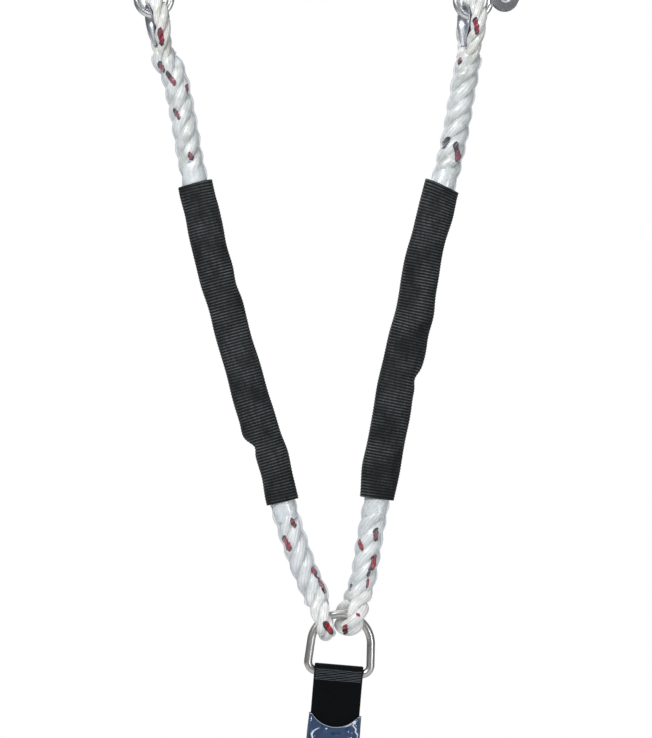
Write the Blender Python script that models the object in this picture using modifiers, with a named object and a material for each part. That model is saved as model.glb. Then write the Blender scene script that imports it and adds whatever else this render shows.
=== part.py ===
"""Twin-leg shock absorbing lanyard, hanging by its two scaffold hooks.

Metres, +Z up, seen from -Y. The origin is midway between the two rail seats,
the points inside the hooks' bows that rest on the rail. Two spliced rope legs
run down from the hooks to a D-ring, which carries the energy absorber pack and,
below it, the screw-gate carabiner that clips to the harness.
"""
import math

import bmesh
import bpy
from mathutils import Matrix, Vector

MM = 0.001
GAP = 0.3 * MM                       # kept between pieces that touch

# --- driving dimensions -------------------------------------------------------
SEAT_SPAN = 354 * MM                 # between the two rail seats
HOOK_LEAN = {"left": 12.5, "right": -9.0}      # degrees, foot towards +X is positive
EYE_DROP = 161.5 * MM                # rail seat to the centre of the hook's eye
EYE_RING_R = 15.5 * MM               # centre line of the eye's round bar
EYE_BAR_R = 3.5 * MM
HOOK_HALF = 5.5 * MM                 # half the forging's thickness
BOW_R = 30 * MM                      # inside of the hook's bow
LOBE = (28.5 * MM, -154.1 * MM)      # gate rivet, in the hook's own frame
LOBE_R = 12 * MM
GATE_HALF = 7.9 * MM
LEVER_PIVOT = (-20 * MM, -129.5 * MM)
LEVER_HALF = 7.6 * MM

ROPE_R = 7.5 * MM                    # three-strand rope, 15 mm
SPLICE_R = 10.6 * MM
THIMBLE_LEAN = {"left": 9.5, "right": -4.5}
THIMBLE_YAW = {"left": 14.0, "right": 18.0}
THIMBLE_WALL = 1.5 * MM
THIMBLE_BOW_R = 9.5 * MM             # inside of the thimble's bow
THIMBLE_LENGTH = 33 * MM             # inside, from bow to tip
FILM_IN_R = 11.5 * MM
FILM_WALL = 0.6 * MM
COVER_IN_R = 14.4 * MM
COVER_WALL = 1.8 * MM
COVER_START = {"left": 125 * MM, "right": 123.5 * MM}     # from the leg's top
COVER_FOOT = {"left": 98 * MM, "right": 94 * MM}        # from its foot
FILM_INSET = 24 * MM                 # clear film's far edge to the leg's end

RING_TILT = -4.8                     # degrees, about +Y the other way round
RING_FOOT = Vector((27.8, 0, -778.3)) * MM     # middle of the ring's bottom bar
RING_BAR_R = 3.75 * MM
RING_HALF_W = 28.75 * MM             # centre line, at the bottom
RING_TOP_R = 27.6 * MM
RING_HEIGHT = 54 * MM                # centre line, bottom bar to crown
RING_CORNER_R = 8.5 * MM
RING_EYE_ANGLE = {"left": -41.3, "right": 14.2}    # round the crown, from its middle
RING_EYE_LEAN = {"left": -16.0, "right": 20.0}     # the ropes' own lean above them
RING_EYE_YAW = {"left": 0.0, "right": 16.0}        # each loop turned about the rope
RING_EYE_GAP = {"left": 1.3 * MM, "right": 0.6 * MM}    # bar to rope
RING_EYE_HOLE_R = 7.2 * MM
RING_EYE_REACH = 21 * MM             # bar centre to the splice's throat

WEB_WIDTH = 45 * MM
WEB_T = 2.6 * MM
PACK_TOP = -60 * MM                  # folded webbing, below the ring's bottom bar
PACK_BOTTOM = -220 * MM
FOLDS = 4                            # runs in each half of the folded webbing
FILM_MOUTH = -39 * MM
FILM_FOOT = -238 * MM
FILM_HALF = 15.2                     # half the wrapped pack's depth, mm
TAIL_WIDTH = 25 * MM
TAIL_LOOP = -275 * MM                # centre of the lower loop's round end
TAIL_LOOP_R = 8 * MM

CARABINER_R = 5 * MM
CARABINER_HALF_W = 25 * MM
CARABINER_HEIGHT = 98 * MM
GATE_TOP = -25 * MM
GATE_PIN = -67 * MM
GATE_X = CARABINER_HALF_W

# Route of each leg's centre line between its two splices' throats, by hand
LEG_ROUTE = {
    "left": [(-132.9, -213.2), (-125.0, -225.0), (-119.9, -243.0), (-113.7, -274.6),
             (-108.8, -304.0), (-105.4, -320.0), (-101.9, -341.0), (-98.2, -356.5),
             (-91.8, -382.2), (-85.0, -408.0), (-71.2, -459.5), (-60.2, -498.2),
             (-52.9, -523.9), (-44.6, -549.7), (-36.9, -575.4), (-29.0, -601.2),
             (-22.4, -627.0), (-14.4, -652.7), (-5.4, -678.5), (-0.6, -690.4)],
    "right": [(147.4, -214.5), (145.0, -227.7), (141.0, -250.0), (136.6, -276.0),
              (130.6, -305.0), (126.0, -322.0), (120.2, -341.0), (115.8, -356.5),
              (109.7, -382.2), (104.2, -408.0), (97.0, -446.6), (90.5, -472.4),
              (85.3, -498.2), (79.6, -523.9), (74.6, -549.7), (70.1, -575.4),
              (65.6, -601.2), (61.6, -627.0), (57.0, -652.7), (52.9, -678.5),
              (51.4, -688.0)],
}

for old in list(bpy.data.objects):
    bpy.data.objects.remove(old, do_unlink=True)


# --- collections, materials and placing ---------------------------------------
def new_collection(name):
    made = bpy.data.collections.new(name)
    bpy.context.scene.collection.children.link(made)
    return made


PARTS = new_collection("shock_absorbing_lanyard")
CUTTERS = new_collection("cutters")


def material(name, colour, roughness, metallic=0.0):
    made = bpy.data.materials.new(name)
    made.use_nodes = True
    shader = made.node_tree.nodes["Principled BSDF"]
    shader.inputs["Base Color"].default_value = (*colour, 1)
    shader.inputs["Roughness"].default_value = roughness
    shader.inputs["Metallic"].default_value = metallic
    return made


STEEL = material("forged_steel", (0.62, 0.63, 0.64), 0.3, 1.0)
ZINC = material("galvanised_steel", (0.55, 0.58, 0.62), 0.4, 1.0)
SATIN = material("satin_steel", (0.55, 0.54, 0.52), 0.35, 1.0)
ROPE = material("white_polyamide_rope", (0.86, 0.87, 0.85), 0.5)
FILM = material("clear_film", (0.75, 0.80, 0.86), 0.15)
BLACK_WEB = material("black_webbing", (0.012, 0.012, 0.014), 0.8)
NAVY_WEB = material("navy_webbing", (0.02, 0.03, 0.07), 0.7)
LABEL = material("white_label", (0.8, 0.8, 0.78), 0.6)
RUBBER = material("black_rubber", (0.02, 0.02, 0.02), 0.6)


def frame(name, location, parent=None, tilt=0.0, yaw=0.0):
    """An empty that pieces are placed on. tilt swings its foot towards +X about Y."""
    made = bpy.data.objects.new(name, None)
    PARTS.objects.link(made)
    made.matrix_local = (Matrix.Translation(location)
                         @ Matrix.Rotation(math.radians(-tilt), 4, "Y")
                         @ Matrix.Rotation(math.radians(yaw), 4, "Z"))
    made.parent = parent
    return made


def place(thing, parent, location=(0, 0, 0), turn=None):
    """Parents a piece to a frame, with its own origin at location."""
    thing.parent = parent
    thing.matrix_local = Matrix.Translation(location) @ (turn or Matrix())
    return thing


def into_mesh(name, thing, collection):
    """The curve object's evaluated shape as a mesh object with welded caps."""
    bpy.context.view_layer.update()
    graph = bpy.context.evaluated_depsgraph_get()
    mesh = bpy.data.meshes.new_from_object(thing.evaluated_get(graph))
    shape = bmesh.new()
    shape.from_mesh(mesh)
    bmesh.ops.remove_doubles(shape, verts=shape.verts, dist=1e-6)
    bmesh.ops.recalc_face_normals(shape, faces=shape.faces)
    shape.to_mesh(mesh)
    shape.free()
    curve = thing.data
    world = thing.matrix_world.copy()
    bpy.data.objects.remove(thing)
    bpy.data.curves.remove(curve)
    made = bpy.data.objects.new(name, mesh)
    made.matrix_world = world
    collection.objects.link(made)
    return made


UPRIGHT = Matrix.Rotation(math.radians(90), 4, "X")      # outline (x, z), depth along Y
SIDEWAYS = Matrix.Rotation(math.radians(90), 4, "Z") @ UPRIGHT    # outline (y, z), along X


def plate(name, outline, half, look=None, holes=(), bevel=0.0, turn=UPRIGHT, steps=2):
    """A flat outline thickened both ways. Without a look it is a cutter."""
    curve = bpy.data.curves.new(name, "CURVE")
    curve.dimensions = "2D"
    curve.fill_mode = "BOTH"
    curve.extrude = half
    for loop in [outline, *holes]:
        line = curve.splines.new("POLY")
        line.points.add(len(loop) - 1)
        for point, (x, z) in zip(line.points, loop):
            point.co = (x, z, 0, 1)
        line.use_cyclic_u = True
    flat = bpy.data.objects.new(name, curve)
    bpy.context.scene.collection.objects.link(flat)
    made = into_mesh(name, flat, PARTS if look else CUTTERS)
    made.data.transform(turn)
    finish(made, look)
    if bevel:
        edge = made.modifiers.new("rounded edges", "BEVEL")
        edge.width = bevel
        edge.segments = steps
        edge.limit_method = "ANGLE"
        edge.angle_limit = math.radians(50)
    return made


def finish(thing, look):
    """A look and smooth shading for a piece; for a cutter, hidden and drawn as wire."""
    if look:
        thing.data.materials.append(look)
        if thing.type == "MESH":
            thing.data.shade_smooth()
            thing.data.set_sharp_from_angle(angle=math.radians(35))
    else:
        thing.hide_render = True
        thing.display_type = "WIRE"


def tube(name, points, radius, look, sides=2, closed=False, scale=None):
    """A round bar along points; scale gives each point's share of the radius."""
    curve = bpy.data.curves.new(name, "CURVE")
    curve.dimensions = "3D"
    curve.bevel_depth = radius
    curve.bevel_resolution = sides
    curve.use_fill_caps = not closed
    line = curve.splines.new("POLY")
    line.points.add(len(points) - 1)
    for i, (point, at) in enumerate(zip(line.points, points)):
        point.co = (*at, 1)
        point.radius = scale[i] if scale else 1.0
    line.use_cyclic_u = closed
    made = bpy.data.objects.new(name, curve)
    PARTS.objects.link(made)
    curve.materials.append(look)
    return made


def turned(name, profile, look, steps=20, turn=UPRIGHT):
    """A closed profile (radius, height) turned about the local Z axis."""
    mesh = bpy.data.meshes.new(name)
    count = len(profile)
    mesh.from_pydata([(r, 0, z) for r, z in profile],
                     [(i, (i + 1) % count) for i in range(count)], [])
    made = bpy.data.objects.new(name, mesh)
    (PARTS if look else CUTTERS).objects.link(made)
    screw = made.modifiers.new("turn", "SCREW")
    screw.steps = screw.render_steps = steps
    screw.use_merge_vertices = True
    screw.merge_threshold = 1e-6
    screw.use_normal_calculate = True
    made = into_mesh_of(made)
    made.data.transform(turn)
    finish(made, look)
    return made


def into_mesh_of(thing):
    """A mesh object with its modifiers applied and its faces pointing out."""
    bpy.context.view_layer.update()
    graph = bpy.context.evaluated_depsgraph_get()
    mesh = bpy.data.meshes.new_from_object(thing.evaluated_get(graph))
    shape = bmesh.new()
    shape.from_mesh(mesh)
    bmesh.ops.remove_doubles(shape, verts=shape.verts, dist=1e-6)
    bmesh.ops.recalc_face_normals(shape, faces=shape.faces)
    shape.to_mesh(mesh)
    shape.free()
    thing.modifiers.clear()
    thing.data = mesh
    return thing


def block(name, low, high):
    """A box cutter between two corners."""
    shape = bmesh.new()
    bmesh.ops.create_cube(shape, size=1)
    size = Vector(high) - Vector(low)
    middle = (Vector(high) + Vector(low)) / 2
    bmesh.ops.transform(shape, verts=shape.verts,
                        matrix=Matrix.Translation(middle) @ Matrix.Diagonal((*size, 1)))
    mesh = bpy.data.meshes.new(name)
    shape.to_mesh(mesh)
    shape.free()
    made = bpy.data.objects.new(name, mesh)
    CUTTERS.objects.link(made)
    finish(made, None)
    return made


def rod_cutter(name, radius, half, sides=20, turn=UPRIGHT):
    """A round cutter centred on its origin, along Y unless turned."""
    shape = bmesh.new()
    bmesh.ops.create_cone(shape, cap_ends=True, segments=sides, radius1=radius,
                          radius2=radius, depth=2 * half, matrix=turn)
    mesh = bpy.data.meshes.new(name)
    shape.to_mesh(mesh)
    shape.free()
    made = bpy.data.objects.new(name, mesh)
    CUTTERS.objects.link(made)
    finish(made, None)
    return made


def combine(thing, tool, operation):
    """A Boolean of thing with tool, which is placed already."""
    step = thing.modifiers.new(operation.lower(), "BOOLEAN")
    step.operation = operation
    step.solver = "EXACT"
    step.object = tool


# --- outlines and routes --------------------------------------------------------
def arc(cx, cz, radius, start, end, count):
    """Points from start to end degrees, both included."""
    return [(cx + radius * math.cos(math.radians(start + (end - start) * i / count)),
             cz + radius * math.sin(math.radians(start + (end - start) * i / count)))
            for i in range(count + 1)]


def bezier(p0, p1, p2, p3, count):
    """The inner points of a cubic between p0 and p3, ends left out."""
    found = []
    for i in range(1, count):
        t = i / count
        u = 1 - t
        found.append(tuple(u**3 * a + 3 * u * u * t * b + 3 * u * t * t * c + t**3 * d
                           for a, b, c, d in zip(p0, p1, p2, p3)))
    return found


def rounded(corners, radius, count=3):
    """The closed outline with each corner cut by a small arc-like curve."""
    found = []
    total = len(corners)
    for i, corner in enumerate(corners):
        here = Vector(corner)
        before = Vector(corners[i - 1]) - here
        after = Vector(corners[(i + 1) % total]) - here
        reach = min(radius, before.length / 2.2, after.length / 2.2)
        start = here + before.normalized() * reach
        end = here + after.normalized() * reach
        for k in range(count + 1):
            t = k / count
            found.append(tuple(start.lerp(here, t).lerp(here.lerp(end, t), t)))
    return found


def smooth_route(points, spacing):
    """Even points along a Catmull-Rom curve through the given ones."""
    knots = [2 * points[0] - points[1], *points, 2 * points[-1] - points[-2]]
    fine = []
    for a, b, c, d in zip(knots, knots[1:], knots[2:], knots[3:]):
        for k in range(16):
            t = k / 16
            fine.append(0.5 * (2 * b + (c - a) * t + (2 * a - 5 * b + 4 * c - d) * t * t
                               + (3 * b - a - 3 * c + d) * t**3))
    fine.append(points[-1])
    return resample(fine, spacing)


def resample(points, spacing):
    lengths = [0.0]
    for a, b in zip(points, points[1:]):
        lengths.append(lengths[-1] + (b - a).length)
    count = max(2, round(lengths[-1] / spacing))
    return [point_at(points, lengths, lengths[-1] * i / count) for i in range(count + 1)]


def point_at(points, lengths, distance):
    for i in range(1, len(points)):
        if lengths[i] >= distance - 1e-12:
            share = (distance - lengths[i - 1]) / (lengths[i] - lengths[i - 1])
            return points[i - 1].lerp(points[i], share)
    return points[-1]


def stretch(points, start, end, spacing):
    """The stretch of a route between two distances along it."""
    lengths = [0.0]
    for a, b in zip(points, points[1:]):
        lengths.append(lengths[-1] + (b - a).length)
    count = max(2, round((end - start) / spacing))
    return [point_at(points, lengths, start + (end - start) * i / count)
            for i in range(count + 1)]


# --- scaffold hooks ---------------------------------------------------------------
def hook_body(side, base):
    lobe_x, lobe_z = LOBE
    outline = [
        *arc(-1 * MM, -BOW_R, 44 * MM, -26, 180, 18),
        *bezier((-45 * MM, -100 * MM), (-45 * MM, -130 * MM), (-22 * MM, -136 * MM),
                (-18.4 * MM, -157 * MM), 8),
        *arc(0, -EYE_DROP, 14.5 * MM, 170, 8, 9),
        *arc(lobe_x, lobe_z, LOBE_R, -150, 118, 12),
        *bezier((22.5 * MM, -143.5 * MM), (4 * MM, -137 * MM), (-30 * MM, -137 * MM),
                (-30 * MM, -102 * MM), 8),
        *arc(0, -BOW_R, BOW_R, 180, -24, 16),
    ]
    body = plate(f"{side}_hook_body", outline, HOOK_HALF, STEEL, bevel=2.2 * MM)
    place(body, base)

    bpy.ops.mesh.primitive_torus_add(
        major_radius=EYE_RING_R, minor_radius=EYE_BAR_R, major_segments=28,
        minor_segments=12, rotation=(math.radians(90), 0, 0))
    ring = bpy.context.object
    ring.name = f"{side}_eye_ring_cutter"
    bpy.ops.object.transform_apply(location=False, rotation=True, scale=False)
    for owner in list(ring.users_collection):
        owner.objects.unlink(ring)
    CUTTERS.objects.link(ring)
    finish(ring, None)
    place(ring, base, (0, 0, -EYE_DROP))
    combine(body, ring, "UNION")

    slot = block(f"{side}_spring_slot_cutter", (-7.5 * MM, -2.9 * MM, -7.5 * MM),
                 (7.5 * MM, 2.9 * MM, 18 * MM))
    place(slot, base, (lobe_x, 0, lobe_z))
    combine(body, slot, "DIFFERENCE")
    for label, (x, z), radius in (("gate", LOBE, 3.3 * MM),
                                  ("lever", LEVER_PIVOT, 2.8 * MM)):
        bore = rod_cutter(f"{side}_{label}_bore_cutter", radius, 12 * MM, 16)
        place(bore, base, (x, 0, z))
        combine(body, bore, "DIFFERENCE")


def hook_gate(side, base):
    """A sheet channel: two cheeks round the lobe and the nose, joined at the back."""
    foot_r = 13 * MM
    rise = 116.5 * MM                # rivet to the top of the gate
    outline = [
        *arc(0, 0, foot_r, 180, 360, 10),
        (8.6 * MM, rise - 5 * MM), (6.6 * MM, rise - 1 * MM), (3.6 * MM, rise),
        (-4 * MM, rise), (-6.6 * MM, rise - 2 * MM), (-7.4 * MM, rise - 6 * MM),
    ]
    gate = plate(f"{side}_hook_gate", outline, GATE_HALF, STEEL, bevel=0.9 * MM)
    place(gate, base, (LOBE[0], 0, LOBE[1]))
    inner = HOOK_HALF + 0.4 * MM
    back_foot = 33 * MM              # the back starts here, clear of the body when open
    channel = plate(f"{side}_channel_cutter",
                    [(-20 * MM, -20 * MM), (30 * MM, -20 * MM), (30 * MM, 130 * MM),
                     (-5.2 * MM, 130 * MM), (-9.6 * MM, back_foot), (-20 * MM, back_foot)],
                    inner)
    place(channel, base, (LOBE[0], 0, LOBE[1]))
    combine(gate, channel, "DIFFERENCE")
    bore = rod_cutter(f"{side}_gate_hole_cutter", 3.3 * MM, 12 * MM, 16)
    place(bore, base, (LOBE[0], 0, LOBE[1]))
    combine(gate, bore, "DIFFERENCE")


def lock_lever(side, base):
    """A sheet channel hugging the spine: a thumb pad outside it, a cheek on each face."""
    px, pz = LEVER_PIVOT
    corners = [(-56, -86), (-52, -77), (-48, -82), (-47, -103), (-38, -115), (-22, -121),
               (-9, -127), (-1, -133), (-4, -139), (-14, -139), (-27, -138), (-41, -132),
               (-52, -121), (-56, -110)]
    outline = rounded([(x * MM - px, z * MM - pz) for x, z in corners], 5 * MM, 2)
    lever = plate(f"{side}_lock_lever", outline, LEVER_HALF, STEEL, bevel=0.6 * MM, steps=1)
    place(lever, base, (px, 0, pz))
    between = block(f"{side}_lever_channel_cutter",
                    (-53.8 * MM - px, -HOOK_HALF - 0.5 * MM, -40 * MM),
                    (40 * MM, HOOK_HALF + 0.5 * MM, 80 * MM))
    place(between, base, (px, 0, pz))
    combine(lever, between, "DIFFERENCE")
    bore = rod_cutter(f"{side}_lever_hole_cutter", 2.8 * MM, 12 * MM, 16)
    place(bore, base, (px, 0, pz))
    combine(lever, bore, "DIFFERENCE")


def rivet(name, base, at, pin_r, head_r, cheek, head_t, front_space=0.0):
    """A pin along Y with a low head over each cheek; front_space stands one head off."""
    back = cheek + GAP
    front = cheek + GAP + front_space
    dome = head_t * 0.4
    profile = [(0, front + head_t), (head_r * 0.7, front + head_t),
               (head_r, front + head_t - dome), (head_r, front), (pin_r, front),
               (pin_r, -back), (head_r, -back), (head_r, -back - head_t + dome),
               (head_r * 0.7, -back - head_t), (0, -back - head_t)]
    place(turned(name, profile, STEEL, 16), base, (at[0], 0, at[1]))


def coil(name, base, at, radius, wire, turns, middle, pitch):
    """A torsion coil about Y."""
    steps = 9
    count = round(turns * steps)
    points = []
    for i in range(count + 1):
        angle = 2 * math.pi * i / steps
        points.append((radius * math.cos(angle), middle + pitch * (i / steps - turns / 2),
                       radius * math.sin(angle)))
    place(tube(name, points, wire, STEEL, 2), base, (at[0], 0, at[1]))


def hook(side, sign):
    base = frame(f"{side}_hook_frame", (sign * SEAT_SPAN / 2, 0, 0), tilt=HOOK_LEAN[side])
    hook_body(side, base)
    hook_gate(side, base)
    lock_lever(side, base)
    rivet(f"{side}_gate_rivet", base, LOBE, 3 * MM, 6.5 * MM, GATE_HALF, 1.8 * MM)
    rivet(f"{side}_lever_rivet", base, LEVER_PIVOT, 2.5 * MM, 5.5 * MM, LEVER_HALF,
          1.4 * MM, front_space=3.2 * MM)
    coil(f"{side}_gate_spring", base, LOBE, 5.6 * MM, 0.6 * MM, 2.5, 0, 1.6 * MM)
    coil(f"{side}_lever_spring", base, LEVER_PIVOT, 3.9 * MM, 0.5 * MM, 1.25,
         -(LEVER_HALF + GAP + 1.3 * MM), 1.2 * MM)
    return base


# --- thimbles and rope --------------------------------------------------------------
def bar_centre(side):
    """The centre of the hook's eye bar where the leaning thimble hangs on it."""
    sign = -1 if side == "left" else 1
    lean = math.radians(HOOK_LEAN[side])
    pull = math.radians(THIMBLE_LEAN[side])
    return Vector((sign * SEAT_SPAN / 2 + EYE_DROP * math.sin(lean)
                   + EYE_RING_R * math.sin(pull), 0,
                   -EYE_DROP * math.cos(lean) - EYE_RING_R * math.cos(pull)))


BOW_CENTRE = EYE_BAR_R + 1.1 * MM - THIMBLE_BOW_R      # below the bar's centre
TIP_ANGLE = math.asin(THIMBLE_BOW_R / (THIMBLE_LENGTH - THIMBLE_BOW_R))


def teardrop(offset, count):
    """Points (y, z) round the bow from one tangent to the other, offset outwards."""
    turn = math.degrees(TIP_ANGLE)
    return arc(0, BOW_CENTRE, THIMBLE_BOW_R + offset, -turn, 180 + turn, count)


def thimble(side, base):
    """A channel that opens outwards, swept round the inside of the rope's eye."""
    rope_centre = ROPE_R + GAP + THIMBLE_WALL
    spread = 62
    section = [(x, z) for x, z in arc(0, rope_centre, rope_centre, -90 - spread,
                                      -90 + spread, 6)]
    section += [(x, z) for x, z in arc(0, rope_centre, ROPE_R + GAP, -90 + spread,
                                       -90 - spread, 6)]
    tip_z = BOW_CENTRE - (THIMBLE_LENGTH - THIMBLE_BOW_R)
    path = teardrop(0, 12)
    normals = [Vector((y, z - BOW_CENTRE)).normalized() for y, z in path]
    for angle in (math.degrees(TIP_ANGLE) + 180, 225, 270, 315, 360 - math.degrees(TIP_ANGLE)):
        way = Vector((math.cos(math.radians(angle)), math.sin(math.radians(angle))))
        path.append((way.x * 1.0 * MM, tip_z + 2 * MM + way.y * 1.0 * MM))
        normals.append(way)
    shape = bmesh.new()
    rings = []
    for (y, z), normal in zip(path, normals):
        rings.append([shape.verts.new((x, y + normal.x * out, z + normal.y * out))
                      for x, out in section])
    for ring, after in zip(rings, rings[1:] + rings[:1]):
        for i in range(len(section)):
            j = (i + 1) % len(section)
            shape.faces.new((ring[i], ring[j], after[j], after[i]))
    bmesh.ops.recalc_face_normals(shape, faces=shape.faces)
    mesh = bpy.data.meshes.new(f"{side}_thimble")
    shape.to_mesh(mesh)
    shape.free()
    made = bpy.data.objects.new(f"{side}_thimble", mesh)
    PARTS.objects.link(made)
    finish(made, ZINC)
    place(made, base)


def upper_eye(side, base):
    """One turn of rope round the thimble, both ends at the splice's throat."""
    offset = THIMBLE_WALL + 2.5 * GAP + ROPE_R
    round_bow = teardrop(offset, 10)
    half = ROPE_R + 0.4 * MM
    slope = math.tan(TIP_ANGLE)
    apex = BOW_CENTRE - (THIMBLE_BOW_R + offset) / math.sin(TIP_ANGLE)
    throat = apex + half / slope
    path = [(half, throat - 2 * MM), (half, throat), *round_bow, (-half, throat),
            (-half, throat - 2 * MM)]
    points = [(0, y, z) for y, z in path]
    place(tube(f"{side}_upper_rope_eye", points, ROPE_R, ROPE, 3), base)


def ring_eye(side):
    """The ring's bar centre inside a rope eye, and the way the rope leaves it."""
    tilt = Matrix.Rotation(math.radians(-RING_TILT), 3, "Y")
    angle = math.radians(RING_EYE_ANGLE[side])
    centre = Vector((0, 0, RING_HEIGHT - RING_TOP_R))
    centre += Vector((math.sin(angle), 0, math.cos(angle))) * RING_TOP_R
    lean = math.radians(RING_EYE_LEAN[side])
    return RING_FOOT + tilt @ centre, Vector((math.sin(lean), 0, math.cos(lean)))


def lower_eye(side):
    """One turn of rope round the D-ring's crown, both ends at the splice's throat."""
    at = ring_eye(side)[0]
    base = frame(f"{side}_ring_eye_frame", at, tilt=-RING_EYE_LEAN[side],
                 yaw=RING_EYE_YAW[side])
    reach = RING_EYE_HOLE_R + ROPE_R
    middle = RING_EYE_HOLE_R - RING_BAR_R - RING_EYE_GAP[side]
    half = ROPE_R + 0.4 * MM
    left = bezier((-half, RING_EYE_REACH), (-half, RING_EYE_REACH - 9 * MM),
                  (-reach, middle + 9 * MM), (-reach, middle), 5)
    path = [(-half, RING_EYE_REACH), *left, *arc(0, middle, reach, 180, 360, 10),
            *[(-y, z) for y, z in reversed(left)], (half, RING_EYE_REACH)]
    points = [(0, y, z) for y, z in path]
    place(tube(f"{side}_lower_rope_eye", points, ROPE_R, ROPE, 3), base)


def leg(side):
    """The spliced rope, its clear sleeves and its black cover, along one route."""
    at, out = ring_eye(side)
    end = at + out * (RING_EYE_REACH + 2 * MM)
    hand = [Vector((x, 0, z)) * MM for x, z in LEG_ROUTE[side]] + [end]
    fine = smooth_route(hand, 4 * MM)
    total = sum((b - a).length for a, b in zip(fine, fine[1:]))
    cover_start = COVER_START[side]
    cover_end = total - COVER_FOOT[side]

    points = resample(fine, 24 * MM)
    step = total / (len(points) - 1)
    narrow = ROPE_R / SPLICE_R
    scale = []
    for i in range(len(points)):
        inside = min(i * step - cover_start, cover_end - i * step) - 25 * MM
        scale.append(1 - (1 - narrow) * min(max(inside / (30 * MM), 0), 1))
    tube(f"{side}_rope_leg", points, SPLICE_R, ROPE, 3, scale=scale)

    sleeve(f"{side}_upper_clear_sleeve", stretch(fine, FILM_INSET, cover_start + 12 * MM,
                                                 13 * MM),
           FILM_IN_R, FILM_WALL, FILM, 3)
    sleeve(f"{side}_lower_clear_sleeve", stretch(fine, cover_end - 12 * MM,
                                                 total - FILM_INSET, 12 * MM),
           FILM_IN_R, FILM_WALL, FILM, 3)
    sleeve(f"{side}_cover_sleeve", stretch(fine, cover_start, cover_end, 33 * MM),
           COVER_IN_R, COVER_WALL, BLACK_WEB, 4)


def sleeve(name, points, inner_r, wall, look, sides):
    """An open pipe along points, as an uncapped tube thickened outwards."""
    open_tube = tube(name, points, inner_r, look, sides)
    open_tube.data.use_fill_caps = False
    made = into_mesh(name, open_tube, PARTS)
    finish(made, None)
    made.hide_render = False
    made.display_type = "TEXTURED"
    made.data.materials.clear()
    finish(made, look)
    skin = made.modifiers.new("wall", "SOLIDIFY")
    skin.thickness = wall
    skin.offset = 1


# --- D-ring -------------------------------------------------------------------------
def d_ring():
    base = frame("d_ring_frame", RING_FOOT, tilt=RING_TILT)
    flat = RING_HALF_W - RING_CORNER_R
    top_z = RING_HEIGHT - RING_TOP_R
    path = [(-flat, 0), (0, 0),
            *arc(flat, RING_CORNER_R, RING_CORNER_R, -90, 0, 5),
            *arc(0, top_z, RING_TOP_R, 2, 178, 20),
            *arc(-flat, RING_CORNER_R, RING_CORNER_R, 180, 270, 5)[:-1]]
    place(tube("d_ring", [(x, 0, z) for x, z in path], RING_BAR_R, SATIN, 3, closed=True),
          base)
    return base


# --- energy absorber ------------------------------------------------------------------
def loop_outlines(centre, inner_r, strap_half, neck, far):
    """Outline and hole (y, z) of a strap folded round a bar above its tail."""
    outer_r = inner_r + WEB_T
    down = 1 if far > centre else -1
    shoulder = 20                     # degrees past level where the plies leave the bar
    start, end = (-shoulder, 180 + shoulder) if down < 0 else (180 - shoulder, 360 + shoulder)
    outer = arc(0, centre, outer_r, start, end, 14)
    inner = arc(0, centre, inner_r, start, end, 12)
    tail = [(outer[-1][0] * 0.62 + math.copysign(strap_half, outer[-1][0]) * 0.38,
             centre + (neck - centre) * 0.55),
            (math.copysign(strap_half, outer[-1][0]), neck),
            (math.copysign(strap_half, outer[-1][0]), far)]
    outline = outer + tail + [(-y, z) for y, z in reversed(tail)]
    hole = inner + [(0, centre + (neck - centre) * 0.72)]
    return outline, hole


def folded_half(name, base, sign):
    """One continuous ribbon folded to and fro, lying on one side of the straps."""
    pitch = WEB_T + 0.35 * MM
    bend = pitch / 2
    inset = bend + WEB_T / 2
    line = []                         # point and normal (y, z) along the ribbon
    for run in range(FOLDS):
        y = 1.5 * WEB_T + 1.5 * GAP + run * pitch
        last = run == FOLDS - 1
        top = PACK_TOP - (inset if run > 0 and not (last and run % 2) else 0)
        foot = PACK_BOTTOM + (0 if last and run % 2 == 0 else inset)
        down = run % 2 == 0
        facing = 1 if down else -1
        start, end = (top, foot) if down else (foot, top)
        line += [((y, start), (facing, 0)), ((y, end), (facing, 0))]
        if last:
            continue
        swing = [180 + 30 * k if down else 180 - 30 * k for k in range(1, 6)]
        for angle in swing:
            way = (math.cos(math.radians(angle)), math.sin(math.radians(angle)))
            at = (y + bend + way[0] * bend, end + way[1] * bend)
            line.append((at, (-facing * way[0], -facing * way[1])))
    half = WEB_T / 2
    left = [(y + ny * half, z + nz * half) for (y, z), (ny, nz) in line]
    right = [(y - ny * half, z - nz * half) for (y, z), (ny, nz) in line]
    outline = [(sign * y, z) for y, z in left + right[::-1]]
    place(plate(name, outline, WEB_WIDTH / 2, NAVY_WEB, turn=SIDEWAYS), base)


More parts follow.
